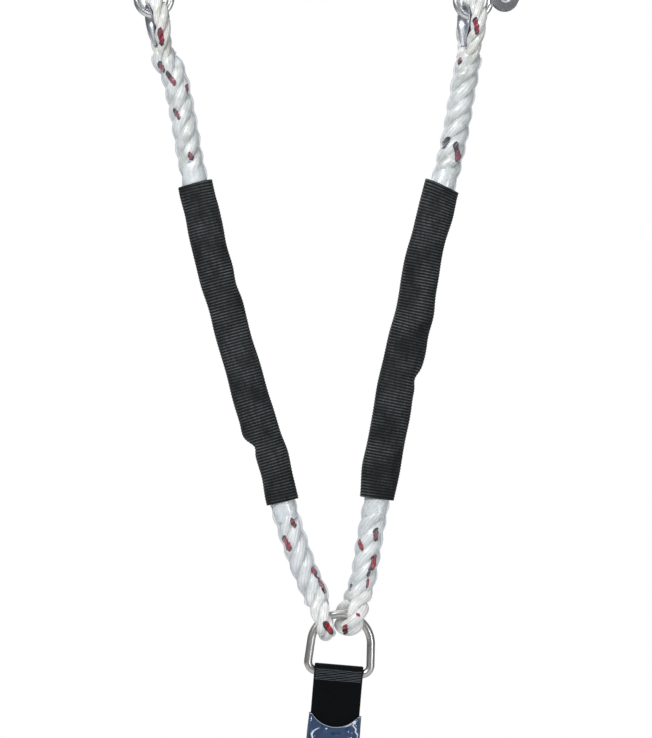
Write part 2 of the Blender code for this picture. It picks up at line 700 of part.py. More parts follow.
def film_cover(base):
    """The clear film: an open skin lofted through rounded rectangles."""
    stations = [(FILM_MOUTH, 23.4, 4.4), (-47 * MM, 23.8, 7.5), (-53 * MM, 24.2, 12.5),
                (-58 * MM, 24.3, FILM_HALF), (-222 * MM, 24.3, FILM_HALF),
                (-227 * MM, 24.0, 13.0), (-232 * MM, 19.0, 8.0), (FILM_FOOT, 15.0, 4.6)]
    shape = bmesh.new()
    rings = []
    for z, half_w, half_d in stations:
        ring = []
        corner = min(half_d * 0.8, 2.6)
        for quarter, (sx, sy) in enumerate(((1, 1), (-1, 1), (-1, -1), (1, -1))):
            cx, cy = sx * (half_w - corner), sy * (half_d - corner)
            for x, y in arc(cx, cy, corner, 90 * quarter, 90 * quarter + 90, 4):
                ring.append(shape.verts.new((x * MM, y * MM, z)))
        rings.append(ring)
    for ring, below in zip(rings, rings[1:]):
        for i in range(len(ring)):
            j = (i + 1) % len(ring)
            shape.faces.new((ring[i], below[i], below[j], ring[j]))
    mesh = bpy.data.meshes.new("film_cover")
    shape.to_mesh(mesh)
    shape.free()
    made = bpy.data.objects.new("film_cover", mesh)
    PARTS.objects.link(made)
    finish(made, FILM)
    skin = made.modifiers.new("film wall", "SOLIDIFY")
    skin.thickness = 0.5 * MM
    skin.offset = 1
    place(made, base)


def absorber(ring_base):
    base = frame("absorber_frame", RING_FOOT, tilt=RING_TILT)
    outline, hole = loop_outlines(0, RING_BAR_R + MM, WEB_T, -20 * MM, -130 * MM)
    upper = plate("upper_strap_loop", outline, WEB_WIDTH / 2, BLACK_WEB, [hole],
                  turn=SIDEWAYS)
    place(upper, base)
    outline, hole = loop_outlines(TAIL_LOOP, TAIL_LOOP_R, WEB_T, -256 * MM, -134 * MM)
    lower = plate("lower_strap_loop", outline, TAIL_WIDTH / 2, BLACK_WEB, [hole],
                  turn=SIDEWAYS)
    place(lower, base)
    folded_half("folded_webbing_front", base, -1)
    folded_half("folded_webbing_back", base, 1)
    film_cover(base)
    front = -(FILM_HALF * MM + 0.5 * MM + GAP)
    label = plate("blank_label", rounded([(-17 * MM, -100 * MM), (17 * MM, -100 * MM),
                                          (17 * MM, -185 * MM), (-17 * MM, -185 * MM)],
                                         3 * MM), 0.2 * MM, LABEL)
    place(label, base, (0, front - 0.2 * MM, 0))
    guard_top, guard_foot = -240 * MM, -254 * MM
    half_w, half_d = TAIL_WIDTH / 2, 4.4 * MM
    inner = [(half_w + GAP, half_d), (-half_w - GAP, half_d), (-half_w - GAP, -half_d),
             (half_w + GAP, -half_d)]
    outer = rounded([(x + math.copysign(2 * MM, x), y + math.copysign(2 * MM, y))
                     for x, y in inner], 2.5 * MM)
    guard = plate("loop_keeper", outer, (guard_top - guard_foot) / 2, RUBBER, [inner],
                  turn=Matrix())
    place(guard, base, (0, 0, (guard_top + guard_foot) / 2))
    return base


# --- harness carabiner ------------------------------------------------------------------
def carabiner(absorber_base):
    top = TAIL_LOOP - TAIL_LOOP_R + CARABINER_R + 0.6 * MM
    base = frame("carabiner_frame", (0, 0, top), parent=absorber_base)
    w, h = CARABINER_HALF_W, CARABINER_HEIGHT
    r_top, r_low = 14 * MM, 20 * MM
    fork_top = GATE_PIN + 5 * MM
    path = [(w, GATE_TOP), *arc(w - r_top, -r_top, r_top, 0, 90, 6),
            *arc(-w + r_top, -r_top, r_top, 90, 180, 6),
            *arc(-w + r_low, -h + r_low, r_low, 180, 270, 6),
            *arc(w - r_low, -h + r_low, r_low, 270, 360, 6), (w, fork_top)]
    line = tube("carabiner_body", [(x, 0, z) for x, z in path], CARABINER_R, STEEL, 3)
    body = into_mesh("carabiner_body", line, PARTS)
    body.data.shade_smooth()
    body.data.set_sharp_from_angle(angle=math.radians(35))
    place(body, base)
    nose = block("nose_tongue_cutter", (w - 3 * MM, -1.6 * MM, GATE_TOP - 6.5 * MM),
                 (w + 3 * MM, 1.6 * MM, GATE_TOP + 3 * MM))
    place(nose, base)
    combine(body, nose, "UNION")
    fork = block("fork_cutter", (w - 8 * MM, -2.6 * MM, GATE_PIN - 5.6 * MM),
                 (w + 8 * MM, 2.6 * MM, fork_top + 5 * MM))
    place(fork, base)
    combine(body, fork, "DIFFERENCE")

    pin_at = (GATE_X, 0, GATE_PIN)
    gate_r = 4.9 * MM
    gate_top = GATE_TOP - 0.4 * MM - GATE_PIN
    shoulder = 6.6 * MM
    gate = turned("carabiner_gate", [(0, gate_top), (gate_r - 0.6 * MM, gate_top),
                                     (gate_r, gate_top - 0.6 * MM), (gate_r, shoulder),
                                     (0, shoulder)], STEEL, 18, turn=Matrix())
    place(gate, base, pin_at)
    tongue = plate("gate_tongue_cutter", [(3.4 * MM, 8 * MM), (-3.4 * MM, 8 * MM),
                                          *arc(0, 0, 4.2 * MM, 180, 360, 8)], 2.2 * MM)
    place(tongue, base, pin_at)
    combine(gate, tongue, "UNION")
    slot = block("gate_slot_cutter", (-8 * MM, -2 * MM, gate_top - 7 * MM),
                 (8 * MM, 2 * MM, gate_top + 3 * MM))
    place(slot, base, pin_at)
    combine(gate, slot, "DIFFERENCE")
    for owner in (body, gate):
        bore = rod_cutter(f"{owner.name}_pin_cutter", 1.8 * MM, 9 * MM, 14)
        place(bore, base, pin_at)
        combine(owner, bore, "DIFFERENCE")
    pin = turned("carabiner_gate_pin", [(0, 4.6 * MM), (1.5 * MM, 4.6 * MM),
                                        (1.5 * MM, -4.6 * MM), (0, -4.6 * MM)], STEEL, 14)
    place(pin, base, pin_at)
    low, high = GATE_PIN + 7.5 * MM, GATE_TOP - 8.2 * MM
    half = (high - low) / 2
    inner, outer = 5.35 * MM, 7.6 * MM
    sleeve_nut = turned("carabiner_screw_sleeve",
                        [(inner, half), (outer - 0.8 * MM, half), (outer, half - 0.8 * MM),
                         (outer, -half + 0.8 * MM), (outer - 0.8 * MM, -half),
                         (inner, -half)], SATIN, 22, turn=Matrix())
    place(sleeve_nut, base, (GATE_X, 0, (low + high) / 2))


for side, sign in (("left", -1), ("right", 1)):
    hook(side, sign)
    thimble_base = frame(f"{side}_thimble_frame", bar_centre(side),
                         tilt=THIMBLE_LEAN[side], yaw=THIMBLE_YAW[side])
    thimble(side, thimble_base)
    upper_eye(side, thimble_base)
    lower_eye(side)
    leg(side)
carabiner(absorber(d_ring()))
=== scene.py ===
"""Looks for the twin-leg shock absorbing lanyard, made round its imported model.

The sizes and routes repeat those of the CAD model. Lengths are written in
millimetres and multiplied by MM.
"""
import copy
import itertools
import math

import bmesh
import bpy
import numpy as np
from mathutils import Matrix, Vector, noise
from mathutils.bvhtree import BVHTree


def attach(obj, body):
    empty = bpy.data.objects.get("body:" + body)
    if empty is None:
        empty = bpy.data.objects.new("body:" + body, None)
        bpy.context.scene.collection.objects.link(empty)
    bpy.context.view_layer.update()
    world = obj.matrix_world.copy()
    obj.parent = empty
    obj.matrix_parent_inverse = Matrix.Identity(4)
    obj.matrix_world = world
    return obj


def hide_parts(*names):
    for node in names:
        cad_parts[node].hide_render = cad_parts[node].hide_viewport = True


MM = 0.001
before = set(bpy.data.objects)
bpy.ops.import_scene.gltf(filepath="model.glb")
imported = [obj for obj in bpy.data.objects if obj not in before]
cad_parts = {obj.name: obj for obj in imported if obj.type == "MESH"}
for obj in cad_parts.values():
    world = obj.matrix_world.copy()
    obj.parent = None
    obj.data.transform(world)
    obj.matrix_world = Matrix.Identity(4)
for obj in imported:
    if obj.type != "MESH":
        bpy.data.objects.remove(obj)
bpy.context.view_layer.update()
VIEWER = np.array([0.0, -1.0, 0.0])

# --- sizes, as in the CAD model -------------------------------------------------
SEAT_SPAN = 354 * MM
HOOK_LEAN = {"left": 12.5, "right": -9.0}
EYE_DROP = 161.5 * MM
EYE_RING_R = 15.5 * MM
EYE_BAR_R = 3.5 * MM
HOOK_HALF = 5.5 * MM
BOW_R = 30 * MM
LOBE = (28.5 * MM, -154.1 * MM)
LOBE_R = 12 * MM
GATE_HALF = 7.9 * MM
LEVER_PIVOT = (-20 * MM, -129.5 * MM)
LEVER_HALF = 7.6 * MM
ROPE_R = 7.5 * MM
SPLICE_R = 11.1 * MM
THIMBLE_LEAN = {"left": 9.5, "right": -4.5}
THIMBLE_YAW = {"left": 14.0, "right": 18.0}
THIMBLE_WALL = 1.5 * MM
THIMBLE_BOW_R = 9.5 * MM
THIMBLE_LENGTH = 33 * MM
BOW_CENTRE = EYE_BAR_R + 1.1 * MM - THIMBLE_BOW_R
TIP_ANGLE = math.asin(THIMBLE_BOW_R / (THIMBLE_LENGTH - THIMBLE_BOW_R))
RING_TILT = -4.8
RING_FOOT = Vector((27.8, 0, -778.3)) * MM
RING_BAR_R = 3.75 * MM
RING_HALF_W = 28.75 * MM
RING_TOP_R = 27.6 * MM
RING_HEIGHT = 54 * MM
RING_CORNER_R = 8.5 * MM
RING_EYE_ANGLE = {"left": -41.3, "right": 14.2}
RING_EYE_LEAN = {"left": -16.0, "right": 20.0}
RING_EYE_YAW = {"left": 0.0, "right": 16.0}
RING_EYE_GAP = {"left": 1.3 * MM, "right": 0.6 * MM}
RING_EYE_HOLE_R = 7.2 * MM
RING_EYE_REACH = 21 * MM
WEB_WIDTH = 45 * MM
WEB_T = 2.6 * MM
PACK_TOP = -60 * MM
PACK_BOTTOM = -220 * MM
FOLDS = 4
TAIL_WIDTH = 25 * MM
TAIL_LOOP = -275 * MM
TAIL_LOOP_R = 8 * MM
CARABINER_TOP = TAIL_LOOP - TAIL_LOOP_R + 5.6 * MM
CARABINER_R = 5 * MM
CARABINER_HALF_W = 25 * MM
CARABINER_HEIGHT = 98 * MM
GATE_TOP = -25 * MM
GATE_PIN = -67 * MM
LEG_ROUTE = {
    "left": [(-132.9, -213.2), (-125.0, -225.0), (-119.9, -243.0), (-113.7, -274.6),
             (-108.8, -304.0), (-105.4, -320.0), (-101.9, -341.0), (-98.2, -356.5),
             (-91.8, -382.2), (-85.0, -408.0), (-71.2, -459.5), (-60.2, -498.2),
             (-52.9, -523.9), (-44.6, -549.7), (-36.9, -575.4), (-29.0, -601.2),
             (-22.4, -627.0), (-14.4, -652.7), (-5.4, -678.5), (-0.6, -690.4)],
    "right": [(147.4, -214.5), (145.0, -227.7), (141.0, -250.0), (136.6, -276.0),
              (130.6, -305.0), (126.0, -322.0), (120.2, -341.0), (115.8, -356.5),
              (109.7, -382.2), (104.2, -408.0), (97.0, -446.6), (90.5, -472.4),
              (85.3, -498.2), (79.6, -523.9), (74.6, -549.7), (70.1, -575.4),
              (65.6, -601.2), (61.6, -627.0), (57.0, -652.7), (52.9, -678.5),
              (51.4, -688.0)],
}
COVER_START = {"left": 125 * MM, "right": 123.5 * MM}     # from the leg's top
COVER_FOOT = {"left": 98 * MM, "right": 94 * MM}        # from its foot
NECK = 10 * MM                       # fat rope past each of the leg's ends

# --- sizes of what only the looks have ------------------------------------------------
SIDES = ("left", "right")
CAMERA_DISTANCE = 2.6
VIEW_WIDTH = 0.5998                  # the view's width at the lanyard
VIEW_X, VIEW_Z = 0.0163, -0.4991
FLOOR_R, FLOOR_Z = 2.3, -1.26
LAY = 50 * MM                        # one turn of a strand round the rope
STATION = 1.5 * MM                   # from one ring of a strand to the next
ROPE_LIMIT = 11.55 * MM              # no strand goes further from the rope's middle
YARNS = 11                           # round one strand
UPPER_TONE_Z, LOWER_TONE_Z = -0.36, -0.60       # the rope and tracers take their upper tone above the first and their lower tone below the second
TRACER_STEP = 2.2 * MM               # a deeper step is a gap between two strands
RIB = 2.6 * MM                       # from one rib of the cover to the next
YARN_PITCH = 1.6 * MM                # across a strap
GATE_BORE_R = 3.3 * MM
LEVER_BORE_R = 2.8 * MM
LABEL_Y = -16.55 * MM
BAG_TOP, BAG_FOOT = -39, -238        # in mm


# --- camera, light and floor ----------------------------------------------------
def linked(name, data):
    """A new object in the scene."""
    made = bpy.data.objects.new(name, data)
    bpy.context.scene.collection.objects.link(made)
    return made


def make_camera():
    """Level, straight ahead; the long lens keeps the view almost without perspective."""
    lens = bpy.data.cameras.new("camera")
    lens.sensor_width = 36
    lens.sensor_fit = "HORIZONTAL"
    lens.lens = 36 * CAMERA_DISTANCE / VIEW_WIDTH
    camera = linked("camera", lens)
    camera.location = (VIEW_X, -CAMERA_DISTANCE, VIEW_Z)
    camera.rotation_euler = (math.radians(90), 0, 0)
    bpy.context.scene.camera = camera


def softbox(name, at, width, height, watts):
    """A rectangular lamp that points at the middle of the lanyard."""
    lamp = bpy.data.lights.new(name, "AREA")
    lamp.shape = "RECTANGLE"
    lamp.size, lamp.size_y = width, height
    lamp.energy = watts
    made = linked(name, lamp)
    made.location = at
    way = Vector((0.02, 0, -0.5)) - Vector(at)
    made.rotation_euler = way.to_track_quat("-Z", "Y").to_euler()


def make_studio():
    """Lamps, a grey world that shows white to the camera, and a pale floor."""
    softbox("key", (-0.85, -1.5, 0.6), 0.9, 0.8, 28)
    softbox("fill", (1.4, -1.5, -0.7), 0.5, 0.9, 9)
    softbox("top", (0.1, 0.5, 1.5), 1.4, 0.8, 9)
    softbox("back", (-0.9, 1.7, 0.5), 1.6, 1.2, 6)
    world = bpy.data.worlds.new("studio")
    bpy.context.scene.world = world
    world.use_nodes = True
    nodes, links = world.node_tree.nodes, world.node_tree.links
    coords = nodes.new("ShaderNodeTexCoord")
    split = nodes.new("ShaderNodeSeparateXYZ")
    links.new(coords.outputs["Generated"], split.inputs[0])
    height = nodes.new("ShaderNodeMapRange")
    height.inputs["From Min"].default_value = -1
    links.new(split.outputs["Z"], height.inputs["Value"])
    ramp = nodes.new("ShaderNodeValToRGB")
    links.new(height.outputs[0], ramp.inputs[0])
    ramp.color_ramp.elements[0].color = (0.10, 0.10, 0.11, 1)
    ramp.color_ramp.elements[1].color = (0.42, 0.42, 0.43, 1)
    ramp.color_ramp.elements.new(0.5).color = (0.16, 0.165, 0.175, 1)
    path = nodes.new("ShaderNodeLightPath")
    mix = nodes.new("ShaderNodeMix")
    mix.data_type = "RGBA"
    links.new(path.outputs["Is Camera Ray"], mix.inputs["Factor"])
    links.new(ramp.outputs["Color"], mix.inputs["A"])
    mix.inputs["B"].default_value = (1, 1, 1, 1)
    links.new(mix.outputs["Result"], nodes["Background"].inputs["Color"])
    bpy.context.scene.view_settings.view_transform = "Standard"

    mesh = bpy.data.meshes.new("floor")
    edge = [(FLOOR_R * math.cos(a), FLOOR_R * math.sin(a), FLOOR_Z) for a in whole_turn(96)]
    mesh.from_pydata(edge, [], [list(range(96))])
    mesh.materials.append(plain("floor_paint", (0.86, 0.86, 0.86), 0.6).material)
    linked("floor", mesh)


# --- materials --------------------------------------------------------------------
class Look:
    """A Principled material and short ways to wire nodes into it."""

    def __init__(self, name, colour, roughness, metallic=0.0, **sockets):
        self.material = bpy.data.materials.new(name)
        self.material.use_nodes = True
        self.nodes = self.material.node_tree.nodes
        self.links = self.material.node_tree.links
        self.shader = self.nodes["Principled BSDF"]
        self.set("Base Color", (*colour, 1))
        self.set("Roughness", roughness)
        self.set("Metallic", metallic)
        for socket, given in sockets.items():
            self.set(socket.replace("_", " ").title().replace("Ior", "IOR"), given)

    def feed(self, socket, given):
        """Links a socket to another node's output, or gives it a value."""
        if isinstance(given, bpy.types.NodeSocket):
            self.links.new(given, socket)
        else:
            socket.default_value = given

    def set(self, socket, given):
        self.feed(self.shader.inputs[socket], given)

    def calc(self, operation, *inputs):
        node = self.nodes.new("ShaderNodeMath")
        node.operation = operation
        for socket, given in zip(node.inputs, inputs):
            self.feed(socket, given)
        return node.outputs[0]

    def times(self, first, second):
        return self.calc("MULTIPLY", first, second)

    def plus(self, first, second):
        return self.calc("ADD", first, second)

    def ridges(self, given, steepness=math.pi):
        """A round ridge for each whole step of given."""
        return self.calc("ABSOLUTE", self.calc("SINE", self.times(given, steepness)))

    def coords(self, kind="Object", scale=(1, 1, 1)):
        node = self.nodes.new("ShaderNodeTexCoord")
        mapping = self.nodes.new("ShaderNodeMapping")
        mapping.inputs["Scale"].default_value = scale
        self.links.new(node.outputs[kind], mapping.inputs["Vector"])
        return mapping.outputs["Vector"]

    def axes(self, vector):
        node = self.nodes.new("ShaderNodeSeparateXYZ")
        self.links.new(vector, node.inputs[0])
        return node.outputs

    def uv(self):
        """The mesh's own u and v, which are metres across and along it."""
        node = self.nodes.new("ShaderNodeTexCoord")
        found = self.axes(node.outputs["UV"])
        return found["X"], found["Y"]

    def towards_ring(self):
        """From 0 by the hooks to 1 by the ring, along which the rope's and tracers' colours
        change.
        """
        return self.spread(self.axes(self.coords())["Z"], 0, 1, UPPER_TONE_Z, LOWER_TONE_Z)

    def noise(self, scale, detail=4, coords=None):
        node = self.nodes.new("ShaderNodeTexNoise")
        node.inputs["Scale"].default_value = scale
        node.inputs["Detail"].default_value = detail
        node.inputs["Roughness"].default_value = 0.55
        self.links.new(coords or self.coords(), node.inputs["Vector"])
        return node.outputs[0]

    def spread(self, given, low, high, start=0.0, end=1.0):
        """given, from start to end, carried to low to high."""
        node = self.nodes.new("ShaderNodeMapRange")
        self.links.new(given, node.inputs["Value"])
        for socket, number in (("From Min", start), ("From Max", end),
                               ("To Min", low), ("To Max", high)):
            node.inputs[socket].default_value = number
        return node.outputs[0]

    def blend(self, factor, first, second):
        node = self.nodes.new("ShaderNodeMix")
        node.data_type = "RGBA"
        self.links.new(factor, node.inputs["Factor"])
        for socket, given in (("A", first), ("B", second)):
            given = (*given, 1) if isinstance(given, tuple) else given
            self.feed(node.inputs[socket], given)
        return node.outputs["Result"]

    def bump(self, *heights):
        """heights are (height socket, depth in metres) pairs, one on top of another."""
        normal = None
        for height, depth in heights:
            node = self.nodes.new("ShaderNodeBump")
            node.inputs["Distance"].default_value = depth
            self.links.new(height, node.inputs["Height"])
            if normal:
                self.links.new(normal, node.inputs["Normal"])
            normal = node.outputs[0]
        self.set("Normal", normal)


def scaled(colour, share):
    return tuple(min(1, c * share) for c in colour)


def plain(name, colour, roughness, **sockets):
    """A painted or moulded look with a little mottling."""
    look = Look(name, colour, roughness, **sockets)
    look.set("Roughness", look.spread(look.noise(220), roughness - 0.06, roughness + 0.08))
    look.set("Base Color", look.blend(look.noise(35), scaled(colour, 0.94),
                                      scaled(colour, 1.03)))
    return look


def metal(name, colour, roughness, grain_depth, dull=0.12):
    """Worn steel: cloudy gloss, fine scratches and a slightly pitted surface."""
    look = Look(name, colour, roughness, 1.0)
    cloud = look.noise(28, 5)
    fine = look.noise(900, 3)
    shade = look.plus(look.times(cloud, 0.65), look.times(fine, 0.35))
    look.set("Roughness", look.spread(shade, roughness - dull / 2, roughness + dull,
                                      0.3, 0.7))
    look.set("Base Color", look.blend(cloud, scaled(colour, 0.86), scaled(colour, 1.06)))
    look.bump((fine, grain_depth), (look.noise(140, 3), grain_depth * 3))
    return look


def rope_look():
    """Glossy polyamide: yarns lie along the rope, so they cross each strand."""
    look = Look("rope_white", (0.86, 0.87, 0.85), 0.3, subsurface_weight=0.12,
                sheen_weight=0.15, specular_ior_level=0.6, coat_weight=0.8,
                subsurface_radius=(0.0016, 0.0016, 0.0015), subsurface_scale=1.0,
                coat_roughness=0.11)
    u, v = look.uv()
    turn = look.plus(look.times(u, YARNS), look.times(v, YARNS / 0.055))
    yarn = look.calc("POWER", look.ridges(turn), 0.5)
    fibre = look.noise(1, 5, look.coords("UV", (60, 900, 1)))
    uneven = look.noise(110, 5)
    blotch = look.noise(38, 2)
    # clean is only a share by height, 0 by the hooks to 1 by the ring: the colours go
    # greyer above and lighter below.
    clean = look.towards_ring()
    # Painted shade: where the uneven bump is low, its hollows are coloured darker grey and
    # its crowns near white.
    hollow = look.blend(clean, (0.56, 0.58, 0.51), (0.72, 0.745, 0.72))
    crown = look.blend(clean, (0.90, 0.91, 0.88), (0.98, 0.985, 0.98))
    white = look.blend(look.spread(uneven, 0, 1, 0.38, 0.62), hollow, crown)
    white = look.blend(look.spread(blotch, 0, 0.55, 0.42, 0.62), white, (0.99, 0.99, 0.985))
    # Painted shade: between the yarns, where their ridges are low, the colour goes darker
    # grey.
    look.set("Base Color", look.blend(look.spread(yarn, 0, 1, 0.15, 0.7),
                                      (0.54, 0.57, 0.56), white))
    look.set("Roughness", look.spread(fibre, 0.24, 0.42, 0.3, 0.7))
    look.bump((uneven, 0.0007), (yarn, 0.00026), (fibre, 0.00008))
    return look


def yarn_look(name, light, upper_tone, dark):
    """Dyed yarn seen through the film: fine filaments that run along it."""
    look = Look(name, light, 0.3, coat_weight=0.7, coat_roughness=0.1)
    filament = look.noise(1, 4, look.coords("UV", (2600, 260, 1)))
    shade = look.plus(look.times(filament, 0.5), look.times(look.noise(330, 3), 0.5))
    # Blended by height, from the upper tone by the hooks to the light tone by the ring.
    bright = look.blend(look.towards_ring(), upper_tone, light)
    look.set("Base Color", look.blend(look.spread(shade, 0, 1, 0.40, 0.60), dark, bright))
    look.bump((filament, 0.00012))
    return look


def film_look(name, tint, see, gloss=0.07, crinkled=1.0):
    """Clear heat-shrunk film: what is behind shows, and edges and highlights gleam."""
    look = Look(name, tint, gloss, specular_ior_level=0.9, coat_weight=0.6,
                coat_roughness=0.05)
    look.bump((look.noise(70, 3), 0.0008 * crinkled),
              (look.noise(230, 2), 0.0004 * crinkled))
    clear = look.nodes.new("ShaderNodeBsdfTransparent")
    clear.inputs["Color"].default_value = (0.985, 0.99, 0.995, 1)
    facing = look.nodes.new("ShaderNodeLayerWeight")
    facing.inputs["Blend"].default_value = 0.35
    edge = look.calc("POWER", facing.outputs["Facing"], 2)
    mix = look.nodes.new("ShaderNodeMixShader")
    for socket, given in zip(mix.inputs, (look.spread(edge, 1 - see, min(1, 1.6 - see)),
                                          clear.outputs[0], look.shader.outputs[0])):
        look.links.new(given, socket)
    look.links.new(mix.outputs[0], look.nodes["Material Output"].inputs["Surface"])
    return look


def webbing_look(name, dark, light, along, depth, gloss, ribs):
    """Woven polyester: rows of yarn across the strap, staggered from one to the next.

    along is from row to row and depth the height of a row, ribs how plain the rows are."""
    look = Look(name, dark, gloss, sheen_weight=0.02, specular_ior_level=0.08,
                sheen_roughness=0.4)
    u, v = look.uv()
    row = look.calc("DIVIDE", v, along)
    half_row = look.times(look.calc("FLOOR", row), 0.5)
    even = look.calc("ROUND", look.calc("FRACT", half_row))
    shifted = look.plus(look.calc("DIVIDE", u, YARN_PITCH), look.times(even, 0.5))
    bead = look.times(look.ridges(shifted), 0.45 - ribs)
    height = look.times(look.calc("POWER", look.ridges(row), 0.6),
                        look.plus(0.55 + ribs, bead))
    lit = look.times(look.spread(height, 0, 1, 0.55, 1.0),
                     look.spread(look.noise(25, 3), 0.35, 1.0, 0.3, 0.7))
    look.set("Base Color", look.blend(lit, dark, light))
    look.set("Roughness", look.spread(height, gloss + 0.14, gloss - 0.1))
    look.bump((height, depth), (look.noise(2600, 2), depth * 0.25))
    return look


def cover_look():
    """Black ribbed tubular webbing, its ribs' crowns polished and its hollows dull; the
    crowns are also coloured lighter grey as a painted highlight.
    """
    look = Look("cover_webbing", (0.004, 0.0045, 0.005), 0.5, sheen_weight=0.05,
                specular_ior_level=0.22, sheen_roughness=0.35)
    u, v = look.uv()
    crown = look.calc("POWER", look.ridges(look.calc("DIVIDE", v, RIB)), 5)
    bead = look.ridges(u, math.pi / (0.9 * MM))
    glint = look.noise(1, 3, look.coords("UV", (330, 90, 1)))
    lit = look.times(crown, look.spread(look.noise(45, 4), 0.15, 1.0, 0.36, 0.62))
    lit = look.times(lit, look.spread(glint, 0.45, 1.0, 0.35, 0.6))
    look.set("Base Color", look.blend(lit, (0.0045, 0.0058, 0.0066), (0.118, 0.134, 0.138)))
    look.set("Roughness", look.spread(crown, 0.75, 0.42))
    look.bump((look.times(bead, crown), 0.00022), (look.noise(2600, 2), 0.00008))
    return look


def wrap_look():
    """Milky tape with the splice's lumps pressed into it."""
    look = Look("milky_wrap", (0.90, 0.945, 0.94), 0.16, subsurface_weight=0.3,
                coat_weight=0.8, subsurface_radius=(0.002, 0.002, 0.002),
                subsurface_scale=1.0)
    look.bump((look.noise(120, 3), 0.0011))
    return look


def all_looks():
    return {
        "polished": metal("polished_steel", (0.84, 0.85, 0.86), 0.27, 0.00001),
        "sheet": metal("plated_sheet", (0.66, 0.67, 0.69), 0.26, 0.000012),
        "satin": metal("satin_steel", (0.60, 0.59, 0.57), 0.27, 0.00002, 0.14),
        "zinc": metal("galvanised", (0.60, 0.63, 0.68), 0.3, 0.00002, 0.2),
        "spring": metal("spring_wire", (0.45, 0.45, 0.46), 0.3, 0.00001),
        "rope": rope_look(),
        "red": yarn_look("tracer_red", (0.68, 0.004, 0.025), (0.46, 0.07, 0.125),
                         (0.10, 0.002, 0.010)),
        "dark": yarn_look("tracer_black", (0.06, 0.012, 0.028), (0.08, 0.025, 0.045),
                          (0.008, 0.006, 0.012)),
        "film": film_look("clear_film", (0.80, 0.88, 0.97), 0.97),
        "bag": film_look("pack_film", (0.035, 0.085, 0.20), 0.45, 0.09, crinkled=0.3),
        "wrap": wrap_look(),
        "cover": cover_look(),
        "strap": webbing_look("strap_webbing", (0.0006, 0.0013, 0.0018),
                              (0.0028, 0.0046, 0.0060), 1.7 * MM, 0.0002, 0.55, 0.25),
        "navy": webbing_look("navy_webbing", (0.010, 0.018, 0.045), (0.05, 0.07, 0.13),
                             1.8 * MM, 0.0003, 0.6, 0.2),
        # Grey of the stitches, and of the rib threads below the ring, where it is a painted
        # highlight.
        "thread": plain("sewing_thread", (0.13, 0.15, 0.175), 0.4),
        # Hem bead at the bag's mouth: a real edge, its light grey-blue a painted highlight.
        "hem": plain("film_hem", (0.45, 0.50, 0.58), 0.25, coat_weight=0.6),
        # Light colour of the ridges that are painted highlights on the film bag.
        "painted_glint": plain("film_painted_glint", (0.72, 0.80, 0.90), 0.25, coat_weight=0.6),
        "label": plain("label_stock", (0.80, 0.80, 0.77), 0.42),
        "rubber": plain("rubber_band", (0.022, 0.022, 0.024), 0.55),
    }


# --- meshes -------------------------------------------------------------------------
def unit(ways):
    """The same directions, each one long."""
    return ways / np.linalg.norm(ways, axis=-1, keepdims=True)


def whole_turn(count):
    return np.linspace(0, 2 * math.pi, count, endpoint=False)


def mesh_piece(name, shape, look, sharp=None):
    """A smooth object from points, faces and UVs; sharp is in degrees."""
    points, faces, uvs = shape
    mesh = bpy.data.meshes.new(name)
    mesh.from_pydata(np.asarray(points).tolist(), [], [list(f) for f in faces])
    layer = mesh.uv_layers.new(name="UVMap")
    layer.data.foreach_set("uv", np.asarray(uvs, np.float32).ravel())
    mesh.materials.append(LOOKS[look].material)
    turn_outwards(mesh)
    mesh.shade_smooth()
    if sharp:
        mesh.set_sharp_from_angle(angle=math.radians(sharp))
    return linked(name, mesh)


def dress(piece, node, body):
    """Says which CAD node a piece replaces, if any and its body."""
    if node:
        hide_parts(node)
    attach(piece, body)


def turn_outwards(mesh):
    """Flips the faces of a closed mesh that point inwards."""
    mesh.calc_loop_triangles()
    corners = np.zeros(len(mesh.loop_triangles) * 3, np.int32)
    mesh.loop_triangles.foreach_get("vertices", corners)
    points = np.zeros(len(mesh.vertices) * 3)
    mesh.vertices.foreach_get("co", points)
    a, b, c = points.reshape(-1, 3)[corners.reshape(-1, 3)].transpose(1, 0, 2)
    if np.einsum("ij,ij->i", a, np.cross(b, c)).sum() < 0:
        mesh.flip_normals()


def skin(rings, closed=False, across=None, along=None):
    """Points, faces and UVs of a surface through rings, an array (ring, point, xyz).

    It is capped, or closed: its last ring is joined to its first. across and along give
    u for each point of a ring and v for each ring, one more of each than there are."""
    rings = np.asarray(rings)
    count, around = rings.shape[:2]
    last = count if closed else count - 1
    i, j = np.meshgrid(np.arange(last), np.arange(around), indexing="ij")
    i, j = i.ravel(), j.ravel()
    after, beside = (i + 1) % count, (j + 1) % around
    faces = np.stack([i * around + j, i * around + beside, after * around + beside,
                      after * around + j], 1).tolist()
    u = np.linspace(0, 1, around + 1) if across is None else np.asarray(across)
    v = np.linspace(0, 1, count + 1) if along is None else np.asarray(along)
    uvs = np.stack([u[j], v[i], u[j + 1], v[i], u[j + 1], v[i + 1], u[j], v[i + 1]], 1)
    uvs = uvs.reshape(-1, 2)
    if not closed:
        faces += [list(range(around))[::-1],
                  [(count - 1) * around + k for k in range(around)]]
        flat = np.stack([u[:around], np.full(around, v[0])], 1)
        uvs = np.vstack([uvs, flat[::-1], flat])
    return rings.reshape(-1, 3), faces, uvs


def joined(parts):
    """One set of points, faces and UVs from several."""
    faces, base = [], 0
    for points, some, _ in parts:
        faces += [[k + base for k in face] for face in some]
        base += len(points)
    return np.vstack([p for p, _, _ in parts]), faces, np.vstack([t for _, _, t in parts])


def run_along(points):
    """How far along a line each of its points is."""
    steps = np.linalg.norm(np.diff(points, axis=0), axis=1)
    return np.concatenate([[0], np.cumsum(steps)])


def place(thing, matrix):
    """Moves a piece's mesh and leaves its origin at the frame's."""
    thing.data.transform(matrix)
    return thing


